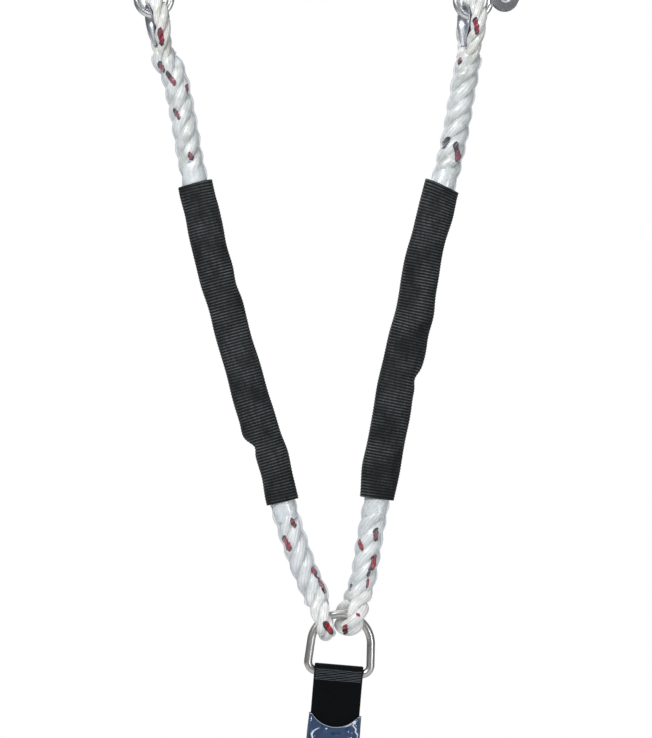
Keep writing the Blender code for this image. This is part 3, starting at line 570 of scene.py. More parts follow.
class Track:
    """Points along a line, with a tangent, a side and a front direction at each."""

    def __init__(self, points, front, spacing, closed=False):
        points = np.asarray(points, float)
        if closed:
            points = np.vstack([points, points[:1]])
        reach = run_along(points)
        count = max(3, int(round(reach[-1] / spacing)))
        self.s = np.linspace(0, reach[-1], count + 1)
        self.points = np.stack([np.interp(self.s, reach, axis) for axis in points.T], 1)
        if closed:
            self.s = self.s[:-1]
            self.points = self.points[:-1]
            ways = np.roll(self.points, -1, 0) - np.roll(self.points, 1, 0)
        else:
            ways = np.gradient(self.points, axis=0)
        self.ways = unit(ways)
        self.front = np.tile(np.asarray(front, float), (len(self.s), 1))
        self.side = unit(np.cross(self.front, self.ways))
        self.length = reach[-1]

    def ring(self, angles, radii):
        """Points round each station; radii is a number or an array (station, angle)."""
        c, s = np.cos(angles)[None, :, None], np.sin(angles)[None, :, None]
        way = self.side[:, None, :] * c + self.front[:, None, :] * s
        radii = np.broadcast_to(radii, (len(self.s), len(angles)))
        return self.points[:, None, :] + way * radii[:, :, None]

    def stretch(self, start, end):
        """The part of the track between two distances."""
        keep = (self.s >= start) & (self.s <= end)
        part = copy.copy(self)
        for name in ("s", "points", "ways", "front", "side"):
            setattr(part, name, getattr(self, name)[keep])
        return part


def smooth_line(points, fine=16):
    """Points along a Catmull-Rom curve through the given ones."""
    points = [np.asarray(p, float) for p in points]
    knots = [2 * points[0] - points[1], *points, 2 * points[-1] - points[-2]]
    found = []
    for a, b, c, d in zip(knots, knots[1:], knots[2:], knots[3:]):
        for k in range(fine):
            t = k / fine
            found.append(0.5 * (2 * b + (c - a) * t + (2 * a - 5 * b + 4 * c - d) * t * t
                                + (3 * b - a - 3 * c + d) * t**3))
    found.append(points[-1])
    return np.array(found)


def in_metres(pairs):
    return [(a * MM, b * MM) for a, b in pairs]


def moved(pairs, by):
    return [(x + by[0], z + by[1]) for x, z in pairs]


def arc(cx, cz, radius, start, end, count):
    """Points along an arc between two angles in degrees, both ends included."""
    angles = np.radians(np.linspace(start, end, count + 1))
    return [(cx + radius * math.cos(a), cz + radius * math.sin(a)) for a in angles]


def bezier(p0, p1, p2, p3, count):
    """The inner points of a cubic between p0 and p3, ends left out."""
    found = []
    for i in range(1, count):
        t = i / count
        u = 1 - t
        found.append(tuple(u**3 * a + 3 * u * u * t * b + 3 * u * t * t * c + t**3 * d
                           for a, b, c, d in zip(p0, p1, p2, p3)))
    return found


def spot_frame(location, tilt=0.0, yaw=0.0):
    """The matrix of a frame whose foot swings tilt degrees towards +X."""
    return (Matrix.Translation(location) @ Matrix.Rotation(math.radians(-tilt), 4, "Y")
            @ Matrix.Rotation(math.radians(yaw), 4, "Z"))


def carried(matrix, points):
    """Points in a frame, as an array of world points."""
    return np.array([matrix @ Vector(p) for p in points])


# --- rope ---------------------------------------------------------------------------
def laid_strands(track, radius, phase, seed, swell=0.0, broad=1.0):
    """Three strands laid round a track, each thicker and thinner by a little as it goes.

    swell makes them more uneven, and broad spreads the rope's outer half to the front."""
    s = track.s
    radius = np.broadcast_to(radius, s.shape)
    c, d = np.cos(whole_turn(22)), np.sin(whole_turn(22))
    parts = []
    for k in range(3):
        turn = phase + 2 * math.pi * (s / LAY + k / 3)
        wander = np.array([noise.noise(Vector((x * 55, seed + 7.3 * k, 0))) for x in s])
        lump = np.array([noise.noise(Vector((x * 130, seed + 3.1 * k, 9))) for x in s])
        out = track.side * np.cos(turn)[:, None] + track.front * np.sin(turn)[:, None]
        offset = radius * (0.535 + 0.05 * wander * (0.4 + swell))
        centre = track.points + out * offset[:, None]
        way = unit(np.gradient(centre, axis=0))
        beside = unit(np.cross(way, out))
        out = np.cross(beside, way)
        thick = radius * (0.47 + 0.04 * lump * (0.3 + swell))
        wide = radius * (0.50 + 0.04 * wander * (0.3 + swell))
        rings = (centre[:, None, :] + out[:, None, :] * (thick[:, None] * c)[:, :, None]
                 + beside[:, None, :] * (wide[:, None] * d)[:, :, None])
        reach = rings - track.points[:, None, :]
        far = np.linalg.norm(reach, axis=2)[:, :, None]
        reach = reach * np.minimum(1, ROPE_LIMIT / far)
        outer = np.einsum("ijk,ik->ij", reach, track.side)
        outer = np.clip(0.4 - 1.5 * outer / radius[:, None], 0, 1)[:, :, None]
        sideways = (reach @ track.front[0])[:, :, None] * track.front[0] * outer
        rings = track.points[:, None, :] + reach + (broad - 1) * sideways
        parts.append(skin(rings, along=[*s, s[-1]]))
    return joined(parts)


def leg_track(side, spacing):
    """The leg's line, carried on at both ends into the crotch of each eye.

    s starts at the CAD leg's top, so it is negative before it."""
    at, way = ring_eye(side)
    end = at + way * (RING_EYE_REACH + 2 * MM)
    hand = [np.array((x, 0, z)) * MM for x, z in LEG_ROUTE[side]] + [np.array(end)]
    lean = math.radians(THIMBLE_LEAN[side])
    up = np.array((-math.sin(lean), 0, math.cos(lean)))
    foot = np.array(end) - np.array(way) * NECK
    track = Track(np.vstack([[hand[0] + up * NECK], smooth_line(hand), [foot]]), VIEWER,
                  spacing)
    track.s -= NECK
    track.length -= 2 * NECK
    return track


def ring_eye(side):
    """The ring's bar centre inside a rope eye, and the way the rope leaves it."""
    tilt = Matrix.Rotation(math.radians(-RING_TILT), 3, "Y")
    angle = math.radians(RING_EYE_ANGLE[side])
    centre = Vector((0, 0, RING_HEIGHT - RING_TOP_R))
    centre += Vector((math.sin(angle), 0, math.cos(angle))) * RING_TOP_R
    lean = math.radians(RING_EYE_LEAN[side])
    return RING_FOOT + tilt @ centre, Vector((math.sin(lean), 0, math.cos(lean)))


def bar_centre(side):
    """Where the thimble bears on the bar of the hook's eye."""
    sign = -1 if side == "left" else 1
    lean = math.radians(HOOK_LEAN[side])
    pull = math.radians(THIMBLE_LEAN[side])
    return Vector((sign * SEAT_SPAN / 2 + EYE_DROP * math.sin(lean)
                   + EYE_RING_R * math.sin(pull), 0,
                   -EYE_DROP * math.cos(lean) - EYE_RING_R * math.cos(pull)))


def teardrop(offset, count):
    """The round part of the thimble's line or of one round it, from throat to throat."""
    turn = math.degrees(TIP_ANGLE)
    return arc(0, BOW_CENTRE, THIMBLE_BOW_R + offset, -turn, 180 + turn, count)


def upper_eye_path():
    """The rope's line round the thimble, ending inside the splice below the throat."""
    offset = THIMBLE_WALL + 0.75 * MM + ROPE_R
    half = ROPE_R + 0.4 * MM
    apex = BOW_CENTRE - (THIMBLE_BOW_R + offset) / math.sin(TIP_ANGLE)
    throat = apex + half / math.tan(TIP_ANGLE)
    tail = [(5.4 * MM, throat - 9 * MM), (3.6 * MM, throat - 20 * MM)]
    path = [tail[1], tail[0], (half, throat), *teardrop(offset, 14), (-half, throat),
            (-tail[0][0], tail[0][1]), (-tail[1][0], tail[1][1])]
    return smooth_line([(0, y, z) for y, z in path], 8)


def lower_eye_path(side):
    """The rope's line round the ring's bar, both tails ending inside the splice."""
    reach = RING_EYE_HOLE_R + ROPE_R
    middle = RING_EYE_HOLE_R - RING_BAR_R - RING_EYE_GAP[side]
    half = ROPE_R + 0.4 * MM
    arm = bezier((-half, RING_EYE_REACH), (-half, RING_EYE_REACH - 9 * MM),
                 (-reach, middle + 9 * MM), (-reach, middle), 6)
    tail = [(-3.6 * MM, RING_EYE_REACH + 19 * MM), (-5.6 * MM, RING_EYE_REACH + 9 * MM),
            (-half, RING_EYE_REACH)]
    path = [*tail, *arm, *arc(0, middle, reach, 180, 360, 16),
            *[(-y, z) for y, z in reversed(arm)], *[(-y, z) for y, z in reversed(tail)]]
    return smooth_line([(0, y, z) for y, z in path], 6)


def splice_radius(side, track):
    """Fat along both splices, thin between them under the cover."""
    start, end = COVER_START[side], track.length - COVER_FOOT[side]
    inside = np.minimum(track.s - start, end - track.s) - 22 * MM
    share = np.clip(inside / (30 * MM), 0, 1)
    radius = SPLICE_R + (ROPE_R - SPLICE_R) * share
    near = np.minimum(track.s, track.length - track.s) + NECK
    return radius * (0.45 + 0.55 * np.clip(near / (6 * MM), 0, 1) ** 0.5)


# Half the breadth in mm of a lower eye near its middle and at its foot
EYE_FULL = {"left": (9.8, 8.7), "right": (10.8, 11.0)}


def eye_breadth(track, full):
    """How much wider than deep: the plies spread where they join above the ring."""
    near = np.minimum(track.s, track.length - track.s)
    half = np.interp(near, [0, 24 * MM, 36 * MM, 52 * MM], [9.5, 10.4, *full]) * MM
    return (half / eye_radius(track, 24 * MM))[:, None, None]


def eye_radius(track, tail):
    """Full size round the eye, thinning along each tail where it goes into the splice."""
    near = np.minimum(track.s, track.length - track.s)
    return ROPE_R * (0.45 + 0.55 * np.clip(near / tail, 0, 1))


ROPE_PHASE = {"left": 0.6, "right": 2.0}
ROPE_SEED = {"left": 11, "right": 29}


def thimble_frame(side):
    return spot_frame(bar_centre(side), THIMBLE_LEAN[side], THIMBLE_YAW[side])


def make_eye(side, end, base, path, tail, phase, seed, full=None):
    """An eye's rope, laid along a path in the eye's own frame."""
    front = base.to_3x3() @ Vector((1, 0, 0))
    track = Track(carried(base, path), front, STATION)
    strands = laid_strands(track, eye_radius(track, tail), phase, seed,
                           broad=eye_breadth(track, full) if full else 1.0)
    piece = mesh_piece(f"{side}_{end}_eye_rope", strands, "rope")
    dress(piece, f"{side}_{end}_rope_eye", "rope_legs")
    return piece


def make_rope(side):
    """A leg and its two eyes; gives the leg's track and its radius along it."""
    track = leg_track(side, STATION)
    radius = splice_radius(side, track)
    strands = laid_strands(track, radius, ROPE_PHASE[side], ROPE_SEED[side], swell=1.0)
    leg = mesh_piece(f"{side}_laid_rope", strands, "rope")
    dress(leg, f"{side}_rope_leg", "rope_legs")
    upper = make_eye(side, "upper", thimble_frame(side), upper_eye_path(), 29 * MM, 1.0, 3)
    ring_frame = spot_frame(ring_eye(side)[0], -RING_EYE_LEAN[side], RING_EYE_YAW[side])
    lower = make_eye(side, "lower", ring_frame, lower_eye_path(side), 24 * MM, 2.2, 5,
                     EYE_FULL[side])
    return track, radius


# Where the tracer yarns surface: x, z, slant in degrees from upright, length and width,
# and the shares of the length, -1 at its top to 1 at its foot, between which it is red
TRACER_FRONT = {
    "left": [(-134.4, -195.9, 9, 15.6, 4.8, -0.85, 0.72),
             (-134.7, -222.2, 34, 11, 4.8, -0.5, 0.75),
             (-125.9, -232.6, 35, 15, 4.2, -0.25, 0.95),
             (-110.4, -242.1, 22, 9, 4.0, -0.7, 0.6),
             (-120.6, -265.4, 33, 11.5, 4.6, -0.5, 0.8),
             (-107.6, -304.6, 45, 7, 4.6, -0.7, 0.5),
             (-13.8, -640.4, 35, 9, 4.2, -0.8, 0.5),
             (-19.8, -659.4, 36, 14, 6.2, -0.75, 0.8), (5.4, -684.6, 42, 8, 4.4, -0.9, 0.5),
             (8.6, -690.6, 50, 9, 1.8, 0, 0), (12.9, -697.8, 27, 15, 4.4, -0.9, 0.45),
             (18.2, -735.6, 41, 14, 5.6, -0.55, 0.7)],
    "right": [(153.2, -186.2, 10, 15, 4.4, -0.75, 0.8),
              (138.8, -216.4, 15, 6, 3.8, -0.9, 0.4), (126.0, -291.6, -30, 13, 4.6, 0, 0),
              (136.6, -300.6, 12, 19, 5.6, -0.15, 0.75),
              (62.2, -651.0, 5, 12, 4.6, -0.1, 0.8), (47.8, -660.4, 22, 12, 3.6, -0.5, 0.9),
              (59.6, -676.9, -4, 14, 5.0, -0.8, 0.7), (56.2, -684.5, -15, 11, 2.8, 0, 0),
              (54.4, -695.6, -8, 9, 2.2, -0.7, 0.7), (39.0, -699.6, -15, 7, 2.2, 0, 0),
              (45.6, -723.4, 60, 4.5, 2.4, -0.6, 0.9),
              (34.0, -737.4, 4, 9.5, 4.6, -0.9, 0.1)],
}
TRACER_BACK = {
    "left": [(-134.0, -190.0, -10, 13, 5, -0.8, 0.8),
             (-124.0, -231.0, -30, 13, 5, -0.6, 0.8),
             (-117.0, -262.0, -25, 11, 5, -0.6, 0.8),
             (-109.0, -298.0, -30, 13, 5, -0.6, 0.8),
             (-15.0, -648.0, -30, 13, 5, -0.8, 0.7), (-5.0, -672.0, -30, 12, 5, -0.6, 0.8),
             (3.0, -696.0, -30, 13, 5, -0.8, 0.5), (16.0, -733.0, -30, 11, 5, -0.6, 0.8)],
    "right": [(151.0, -187.0, 10, 13, 5, -0.8, 0.8), (144.5, -222.0, 20, 13, 5, -0.6, 0.8),
              (140.0, -255.0, 22, 11, 5, -0.6, 0.8), (133.0, -290.0, 20, 13, 5, -0.6, 0.8),
              (60.0, -643.0, 18, 12, 5, -0.8, 0.7), (55.0, -674.0, 20, 13, 5, -0.6, 0.8),
              (49.0, -698.0, 20, 12, 5, -0.8, 0.6), (37.0, -733.0, 10, 11, 5, -0.6, 0.8)],
}


def surface_tree(pieces):
    """A search tree over the meshes of some pieces."""
    points, faces = [], []
    for piece in pieces:
        base = len(points)
        points += [v.co.copy() for v in piece.data.vertices]
        faces += [[base + k for k in f.vertices] for f in piece.data.polygons]
    return BVHTree.FromPolygons(points, faces)


def tracer_patch(tree, spot, facing, red):
    """A run of yarn laid on the rope, seen along Y from the facing side."""
    x, z, slant, length, width, red_from, red_to = spot
    if red and red_from == red_to:
        return None
    start, stop = (red_from, red_to) if red else (-1, 1)
    half_width = width * (0.92 if red else 1.0) / 2
    proud = 0.45 if red else 0.12
    lean = math.radians(slant)
    along, across = 24, 8
    points, faces, uvs, seen = [], [], [], []
    for i in range(along + 1):
        share = i / along
        t = start + (stop - start) * share
        swell = noise.noise(Vector((x * 0.7, z * 0.7, 2.9 * t)))
        skew = 2 * share - 1
        half = half_width * (1 - 0.5 * abs(skew) ** 5) * (1 + 0.45 * swell) + 0.05
        bend = 0.6 * noise.noise(Vector((x, z, t))) + (0.3 if red else 0)
        for j in range(across + 1):
            w = (2 * j / across - 1) * half + bend
            down = t * length / 2 - 0.45 * w
            px = x + w * math.cos(lean) + down * math.sin(lean)
            pz = z + w * math.sin(lean) - down * math.cos(lean)
            hit, normal, _, _ = tree.ray_cast(Vector((px * MM, -0.08 * facing, pz * MM)),
                                              Vector((0, facing, 0)))
            seen.append(hit is not None)
            if hit is None:
                hit, normal = Vector((px * MM, 0, pz * MM)), Vector((0, -facing, 0))
            crown = proud * (1 - (2 * j / across - 1) ** 2) + 0.12
            points.append(hit + normal * crown * MM)
            uvs.append((w * MM, t * length / 2 * MM))
    for i in range(along):
        for j in range(across):
            k = i * (across + 1) + j
            face = [k, k + 1, k + across + 2, k + across + 1]
            depth = [points[c].y for c in face]
            if all(seen[c] for c in face) and max(depth) - min(depth) < TRACER_STEP:
                faces.append(face)
    if not faces:
        return None
    return np.array(points), faces, np.array([uvs[k] for face in faces for k in face])


def make_tracers(side):
    tree = surface_tree([bpy.data.objects[f"{side}_{name}"]
                         for name in ("laid_rope", "upper_eye_rope", "lower_eye_rope")])
    spots = [(spot, 1) for spot in TRACER_FRONT[side]]
    spots += [(spot, -1) for spot in TRACER_BACK[side]]
    for look in ("dark", "red"):
        parts = [tracer_patch(tree, spot, facing, look == "red") for spot, facing in spots]
        piece = mesh_piece(f"{side}_tracer_{look}", joined([p for p in parts if p]), look)
        clean = bmesh.new()
        clean.from_mesh(piece.data)
        loose = [v for v in clean.verts if not v.link_faces]
        bmesh.ops.delete(clean, geom=loose, context="VERTS")
        clean.to_mesh(piece.data)
        clean.free()
        dress(piece, None, "rope_legs")


# --- film and wraps on the splices -----------------------------------------------------
def lobed(side, track, radius, start, end):
    """Part of the leg's track, its radius, and 1 to -1 over the strands and between."""
    part = track.stretch(start, end)
    turn = ROPE_PHASE[side] + 2 * math.pi * part.s / LAY
    lobe = np.cos(3 * (whole_turn(60)[None, :] - turn[:, None]))
    return part, radius[(track.s >= start) & (track.s <= end)][:, None], lobe


def make_film(side, track, radius):
    """Shrunk film over each splice, and milky tape where it goes into the cover."""
    top, foot = COVER_START[side], track.length - COVER_FOOT[side]
    films = {"upper": (-4 * MM, top + 10 * MM),
             "lower": (foot - 10 * MM, track.length + 7 * MM)}
    wraps = {"upper": (top - 24 * MM, top + 9 * MM),
             "lower": (foot - 9 * MM, foot + 24 * MM)}
    angles = whole_turn(60)
    for end in ("upper", "lower"):
        part, fat, lobe = lobed(side, track, radius, *films[end])
        ruck = np.array([[noise.noise(Vector((s * 60, 2 * math.cos(a), 2 * math.sin(a))))
                          for a in angles] for s in part.s])
        snug = fat * (0.985 + 0.075 * lobe) + 0.4 * MM * ruck + 0.75 * MM
        film = mesh_piece(f"{side}_{end}_film", open_shell(part.ring(angles, snug), part),
                          "film")
        dress(film, f"{side}_{end}_clear_sleeve", "rope_legs")

        part, fat, lobe = lobed(side, track, radius, *wraps[end])
        far = part.s - part.s[0] if end == "upper" else part.s[-1] - part.s
        fade = np.clip(far / (16 * MM), 0, 1)[:, None]
        rings = part.ring(angles, fat * (0.90 + 0.10 * fade + 0.02 * lobe * (1 - fade)))
        wrap = mesh_piece(f"{side}_{end}_wrap", open_shell(rings, part), "wrap")
        dress(wrap, None, "rope_legs")


def open_shell(rings, part, wall=0.35 * MM):
    """A pipe wall: the outer rings and an inner copy, closed at both ends."""
    inner = rings + unit(part.points[:, None, :] - rings) * wall
    return skin(np.concatenate([rings, inner[::-1]], 0), closed=True,
                across=np.linspace(0, 2 * math.pi * 12 * MM, rings.shape[1] + 1),
                along=np.concatenate([part.s, part.s[::-1], part.s[:1]]))


# --- black cover sleeves -------------------------------------------------------------
# Dents and bulges: distance from the cover's top, side (-1 left, 1 right, 0 front),
# depth (positive goes in), reach along and reach round in degrees
COVER_DENTS = {
    "left": [(22, -1, 1.2, 14, 60), (58, 1, 1.0, 14, 50), (70, 0, 1.2, 18, 45),
             (95, 1, 2.2, 12, 50), (110, -1, 1.2, 16, 60), (150, 0, 1.4, 22, 40),
             (190, 1, 0.8, 18, 60), (226, -1, -2.2, 10, 50), (238, -1, 4.4, 6, 60),
             (246, -1, 1.6, 9, 60), (252, 1, -1.8, 14, 60), (262, -1, 2.4, 16, 50)],
    "right": [(26, 1, -1.0, 14, 60), (48, -1, 1.2, 18, 50), (76, 0, 1.4, 20, 50),
              (114, 1, -1.4, 12, 50), (146, 1, -1.2, 12, 60), (159, 1, -0.8, 12, 60),
              (172, 1, 3.0, 7, 55), (186, 1, 1.4, 14, 60), (241, 0, 1.4, 20, 45),
              (258, -1, -0.8, 14, 60)],
}


COVER_SLANT = {"left": (-1.5, 0.3), "right": (2.0, -0.4)}     # of its top and foot, in mm
COVER_SEED = {"left": 5, "right": 17}
# Half the cover's breadth in mm at shares of its length
COVER_HALF = {"left": ([0, 0.08, 0.5, 0.72, 0.8, 1], [15.6, 16.6, 16.6, 16.4, 15.2, 14.8]),
              "right": ([0, 0.1, 0.35, 0.65, 0.9, 1], [16.4, 16.2, 16.8, 17.8, 17.0, 16.2])}


def make_cover(side, track):
    """A slack ribbed tube over the leg, its ends cut on a slant."""
    start, end = COVER_START[side], track.length - COVER_FOOT[side]
    fine = Track(track.points, VIEWER, RIB / 8)
    fine.s *= track.length / fine.s[-1]
    part = fine.stretch(start, end)
    s = part.s - start
    span = s[-1]
    angles = whole_turn(80)
    toward_end = np.clip(1 - np.minimum(s, span - s) / (34 * MM), 0, 1)[:, None]
    knots, widths = COVER_HALF[side]
    half_w = np.interp(s / span, knots, widths)[:, None] * MM
    half_d = 13.6 * MM - 0.8 * MM * toward_end
    c, d = np.cos(angles)[None, :], np.sin(angles)[None, :]
    radii = ((np.abs(c) / half_w) ** 2.2 + (np.abs(d) / half_d) ** 2.2) ** (-1 / 2.2)
    wave = np.array([[noise.noise(Vector((x * 24, 1.6 * math.cos(a), 1.6 * math.sin(a)
                                          + COVER_SEED[side]))) for a in angles]
                     for x in s[::4]])
    radii = radii + 1.5 * MM * np.repeat(wave, 4, 0)[:len(s)]
    for at, where, depth, reach, swing in COVER_DENTS[side]:
        middle = {-1: math.pi, 1: 0.0, 0: math.pi / 2}[where]
        off = np.angle(np.exp(1j * (angles - middle)))[None, :]
        skewed = s[:, None] - (at * MM + off * 3.0 * MM)
        pull = np.exp(-(skewed / (reach * MM)) ** 2 - (np.degrees(off) / swing) ** 2)
        radii = radii - depth * MM * pull
    phase = s[:, None] + 1.2 * MM * np.sin(angles)[None, :] * np.sin(s * 45)[:, None]
    rib = np.abs(np.sin(math.pi * phase / RIB)) ** 0.8
    rings = part.ring(angles, radii + 0.52 * MM * (rib - 0.6))
    top_slant, foot_slant = COVER_SLANT[side]
    shift = (np.exp(-s / (16 * MM))[:, None] * top_slant * MM * c
             + np.exp(-(span - s) / (16 * MM))[:, None] * foot_slant * MM * c)
    rings = rings + part.ways[:, None, :] * shift[:, :, None]
    inward = unit(part.points[:, None, :] - rings)
    inner = rings[::8] + inward[::8] * 1.2 * MM
    shape = skin(np.concatenate([rings, inner[::-1]], 0), closed=True,
                 across=np.linspace(0, 2 * math.pi * 14.5 * MM, len(angles) + 1),
                 along=np.concatenate([s, s[::8][::-1], s[:1]]))
    dress(mesh_piece(f"{side}_cover", shape, "cover"), f"{side}_cover_sleeve", "rope_legs")


# --- thimbles ------------------------------------------------------------------------
def make_thimble(side):
    """A channel bent round a teardrop, with the rolled lips of its two arms."""
    base = thimble_frame(side)
    tip = (0.9 * MM, BOW_CENTRE - (THIMBLE_LENGTH - THIMBLE_BOW_R) + 2 * MM)
    bow = teardrop(0, 40)
    arm = [tip] + [tuple(np.array(tip) * (1 - t) + np.array(bow[0]) * t)
                   for t in np.linspace(0, 1, 12)[1:-1]]
    line = arm + bow + [(-y, z) for y, z in arm[::-1]]
    normals = [(math.cos(TIP_ANGLE), -math.sin(TIP_ANGLE))] * len(arm)
    for y, z in bow:
        normals.append(tuple(Vector((y, z - BOW_CENTRE)).normalized()))
    normals += [(-math.cos(TIP_ANGLE), -math.sin(TIP_ANGLE))] * len(arm)
    rope_centre = ROPE_R + 0.3 * MM + THIMBLE_WALL
    mid_r = rope_centre - THIMBLE_WALL / 2
    inner_r = rope_centre - THIMBLE_WALL
    lip_r = mid_r + 0.35 * MM
    rings, lips = [], ([], [])
    for k, ((y, z), (ny, nz)) in enumerate(zip(line, normals)):
        near_tip = 1 - min(min(k, len(line) - 1 - k) / len(arm), 1)
        spread = math.radians(64 - 16 * near_tip)
        outer = [(rope_centre * math.sin(a), rope_centre - rope_centre * math.cos(a))
                 for a in np.linspace(-spread, spread, 15)]
        rims = []
        for sign, lip in zip((1, -1), lips):
            cx = sign * mid_r * math.sin(spread)
            cz = rope_centre - mid_r * math.cos(spread)
            rims.append([(cx + sign * THIMBLE_WALL / 2 * math.sin(spread + math.pi * t),
                          cz - THIMBLE_WALL / 2 * math.cos(spread + math.pi * t))
                         for t in (0.25, 0.5, 0.75)])
            out = rope_centre - lip_r * math.cos(spread)
            lip.append((sign * lip_r * math.sin(spread), y + ny * out, z + nz * out))
        inner = [(inner_r * math.sin(a), rope_centre - inner_r * math.cos(a))
                 for a in np.linspace(spread, -spread, 15)]
        section = outer + rims[0] + inner + rims[1][::-1]
        rings.append(carried(base, [(x, y + ny * out, z + nz * out) for x, out in section]))
    piece = mesh_piece(f"{side}_channel_thimble", skin(rings), "zinc", 40)
    edges = []
    for lip in lips:
        for edge in (lip[:12], lip[-12:]):
            swell = (0.35 + 0.4 * np.sin(np.linspace(0.1, math.pi - 0.1, len(edge)))) * MM
            edges.append(skin(wire_rings(carried(base, edge), swell, 10)))
    rolled = mesh_piece(f"{side}_thimble_lips", joined(edges), "polished")
    dress(rolled, None, "rope_legs")
    dress(piece, f"{side}_thimble", "rope_legs")


# --- forged and pressed plates ---------------------------------------------------------
UPRIGHT = Matrix.Rotation(math.radians(90), 4, "X")      # turns Z onto the Y axis


def evaluated(thing):
    """The mesh of an object with its modifiers applied."""
    bpy.context.view_layer.update()
    graph = bpy.context.evaluated_depsgraph_get()
    return bpy.data.meshes.new_from_object(thing.evaluated_get(graph))


def flat_plate(name, outline, half, look=None, bevel=0.0, steps=4, angle=40):
    """A flat outline (x, z) thickened both ways along Y, edges rounded."""
    curve = bpy.data.curves.new(name, "CURVE")
    curve.dimensions = "2D"
    curve.fill_mode = "BOTH"
    curve.extrude = half
    line = curve.splines.new("POLY")
    line.points.add(len(outline) - 1)
    for point, (x, z) in zip(line.points, outline):
        point.co = (x, z, 0, 1)
    line.use_cyclic_u = True
    mesh = evaluated(linked(name + "_curve", curve))
    bpy.data.curves.remove(curve)
    shape = bmesh.new()
    shape.from_mesh(mesh)
    bmesh.ops.remove_doubles(shape, verts=shape.verts, dist=1e-6)
    bmesh.ops.recalc_face_normals(shape, faces=shape.faces)
    shape.transform(UPRIGHT)
    shape.to_mesh(mesh)
    shape.free()
    made = linked(name, mesh)
    mesh.materials.clear()
    if look:
        mesh.materials.append(LOOKS[look].material)
    if bevel:
        edge = made.modifiers.new("edge", "BEVEL")
        edge.width = bevel
        edge.segments = steps
        edge.limit_method = "ANGLE"
        edge.angle_limit = math.radians(angle)
    return made


def box_tool(low, high):
    """A block between two opposite corners."""
    shape = bmesh.new()
    bmesh.ops.create_cube(shape, size=1)
    size = Vector(high) - Vector(low)
    middle = (Vector(high) + Vector(low)) / 2
    bmesh.ops.transform(shape, verts=shape.verts,
                        matrix=Matrix.Translation(middle) @ Matrix.Diagonal((*size, 1)))
    return tool_from(shape)


def rod_tool(radius, at, half=12 * MM):
    """A rod along Y at an x and z."""
    shape = bmesh.new()
    bmesh.ops.create_cone(shape, cap_ends=True, segments=40, radius1=radius,
                          radius2=radius, depth=2 * half,
                          matrix=Matrix.Translation((at[0], 0, at[1])) @ UPRIGHT)
    return tool_from(shape)


def tool_from(shape):
    """An object without a look, to cut or join others with."""
    mesh = bpy.data.meshes.new("tool")
    shape.to_mesh(mesh)
    shape.free()
    return linked("tool", mesh)


def finished(thing, *steps, sharp=32):
    """Applies a piece's modifiers after adding (operation, tool) Booleans to it."""
    for operation, tool in steps:
        cut = thing.modifiers.new(operation, "BOOLEAN")
        cut.operation = operation
        cut.solver = "EXACT"
        cut.object = tool
    mesh = evaluated(thing)
    thing.modifiers.clear()
    thing.data = mesh
    for _, tool in steps:
        bpy.data.objects.remove(tool)
    mesh.shade_smooth()
    mesh.set_sharp_from_angle(angle=math.radians(sharp))
    return thing


def lathe(name, profile, look, axis_turn=UPRIGHT):
    """A closed solid from (radius, height) pairs, from its top centre to its bottom."""
    rings = [[(r * math.cos(a), r * math.sin(a), h) for a in whole_turn(40)]
             for r, h in profile]
    return place(mesh_piece(name, skin(rings), look, 35), axis_turn)


def rounded(corners, radius, count=6):
    """An outline with each of its corners cut by a curve."""
    found = []
    total = len(corners)
    for i, corner in enumerate(corners):
        here = Vector(corner)
        before = Vector(corners[i - 1]) - here
        after = Vector(corners[(i + 1) % total]) - here
        reach = min(radius, before.length / 2.2, after.length / 2.2)
        start = here + before.normalized() * reach
        end = here + after.normalized() * reach
        for k in range(count + 1):
            t = k / count
            found.append(tuple(start.lerp(here, t).lerp(here.lerp(end, t), t)))
    return found


def make_hook_body(side, base):
    """The forging: a long bow, an eye for the rope and a slotted lobe for the gate."""
    lobe_x, lobe_z = LOBE
    outline = [
        *arc(-1 * MM, -BOW_R, 44 * MM, -26, 180, 60),
        *bezier(*in_metres([(-45, -100), (-45, -130), (-22, -136), (-18.4, -157)]), 24),
        *arc(0, -EYE_DROP, 14.5 * MM, 170, 8, 24),
        *arc(lobe_x, lobe_z, LOBE_R, -150, 118, 32),
        *bezier(*in_metres([(22.5, -143.5), (4, -137), (-30, -137), (-30, -102)]), 24),
        *arc(0, -BOW_R, BOW_R, 180, -24, 56),
    ]
    body = flat_plate(f"{side}_forged_hook", outline, HOOK_HALF, "polished", 3.6 * MM,
                      6, 50)
    bpy.ops.mesh.primitive_torus_add(
        major_radius=EYE_RING_R, minor_radius=EYE_BAR_R, major_segments=72,
        minor_segments=28, location=(0, 0, -EYE_DROP), rotation=(math.radians(90), 0, 0))
    ring = bpy.context.object
    slot = box_tool((lobe_x - 7.5 * MM, -2.9 * MM, lobe_z - 7.5 * MM),
                    (lobe_x + 7.5 * MM, 2.9 * MM, lobe_z + 18 * MM))
    finished(body, ("UNION", ring), ("DIFFERENCE", slot),
             ("DIFFERENCE", rod_tool(GATE_BORE_R, LOBE)),
             ("DIFFERENCE", rod_tool(LEVER_BORE_R, LEVER_PIVOT)))
    dress(place(body, base), f"{side}_hook_body", "hooks")


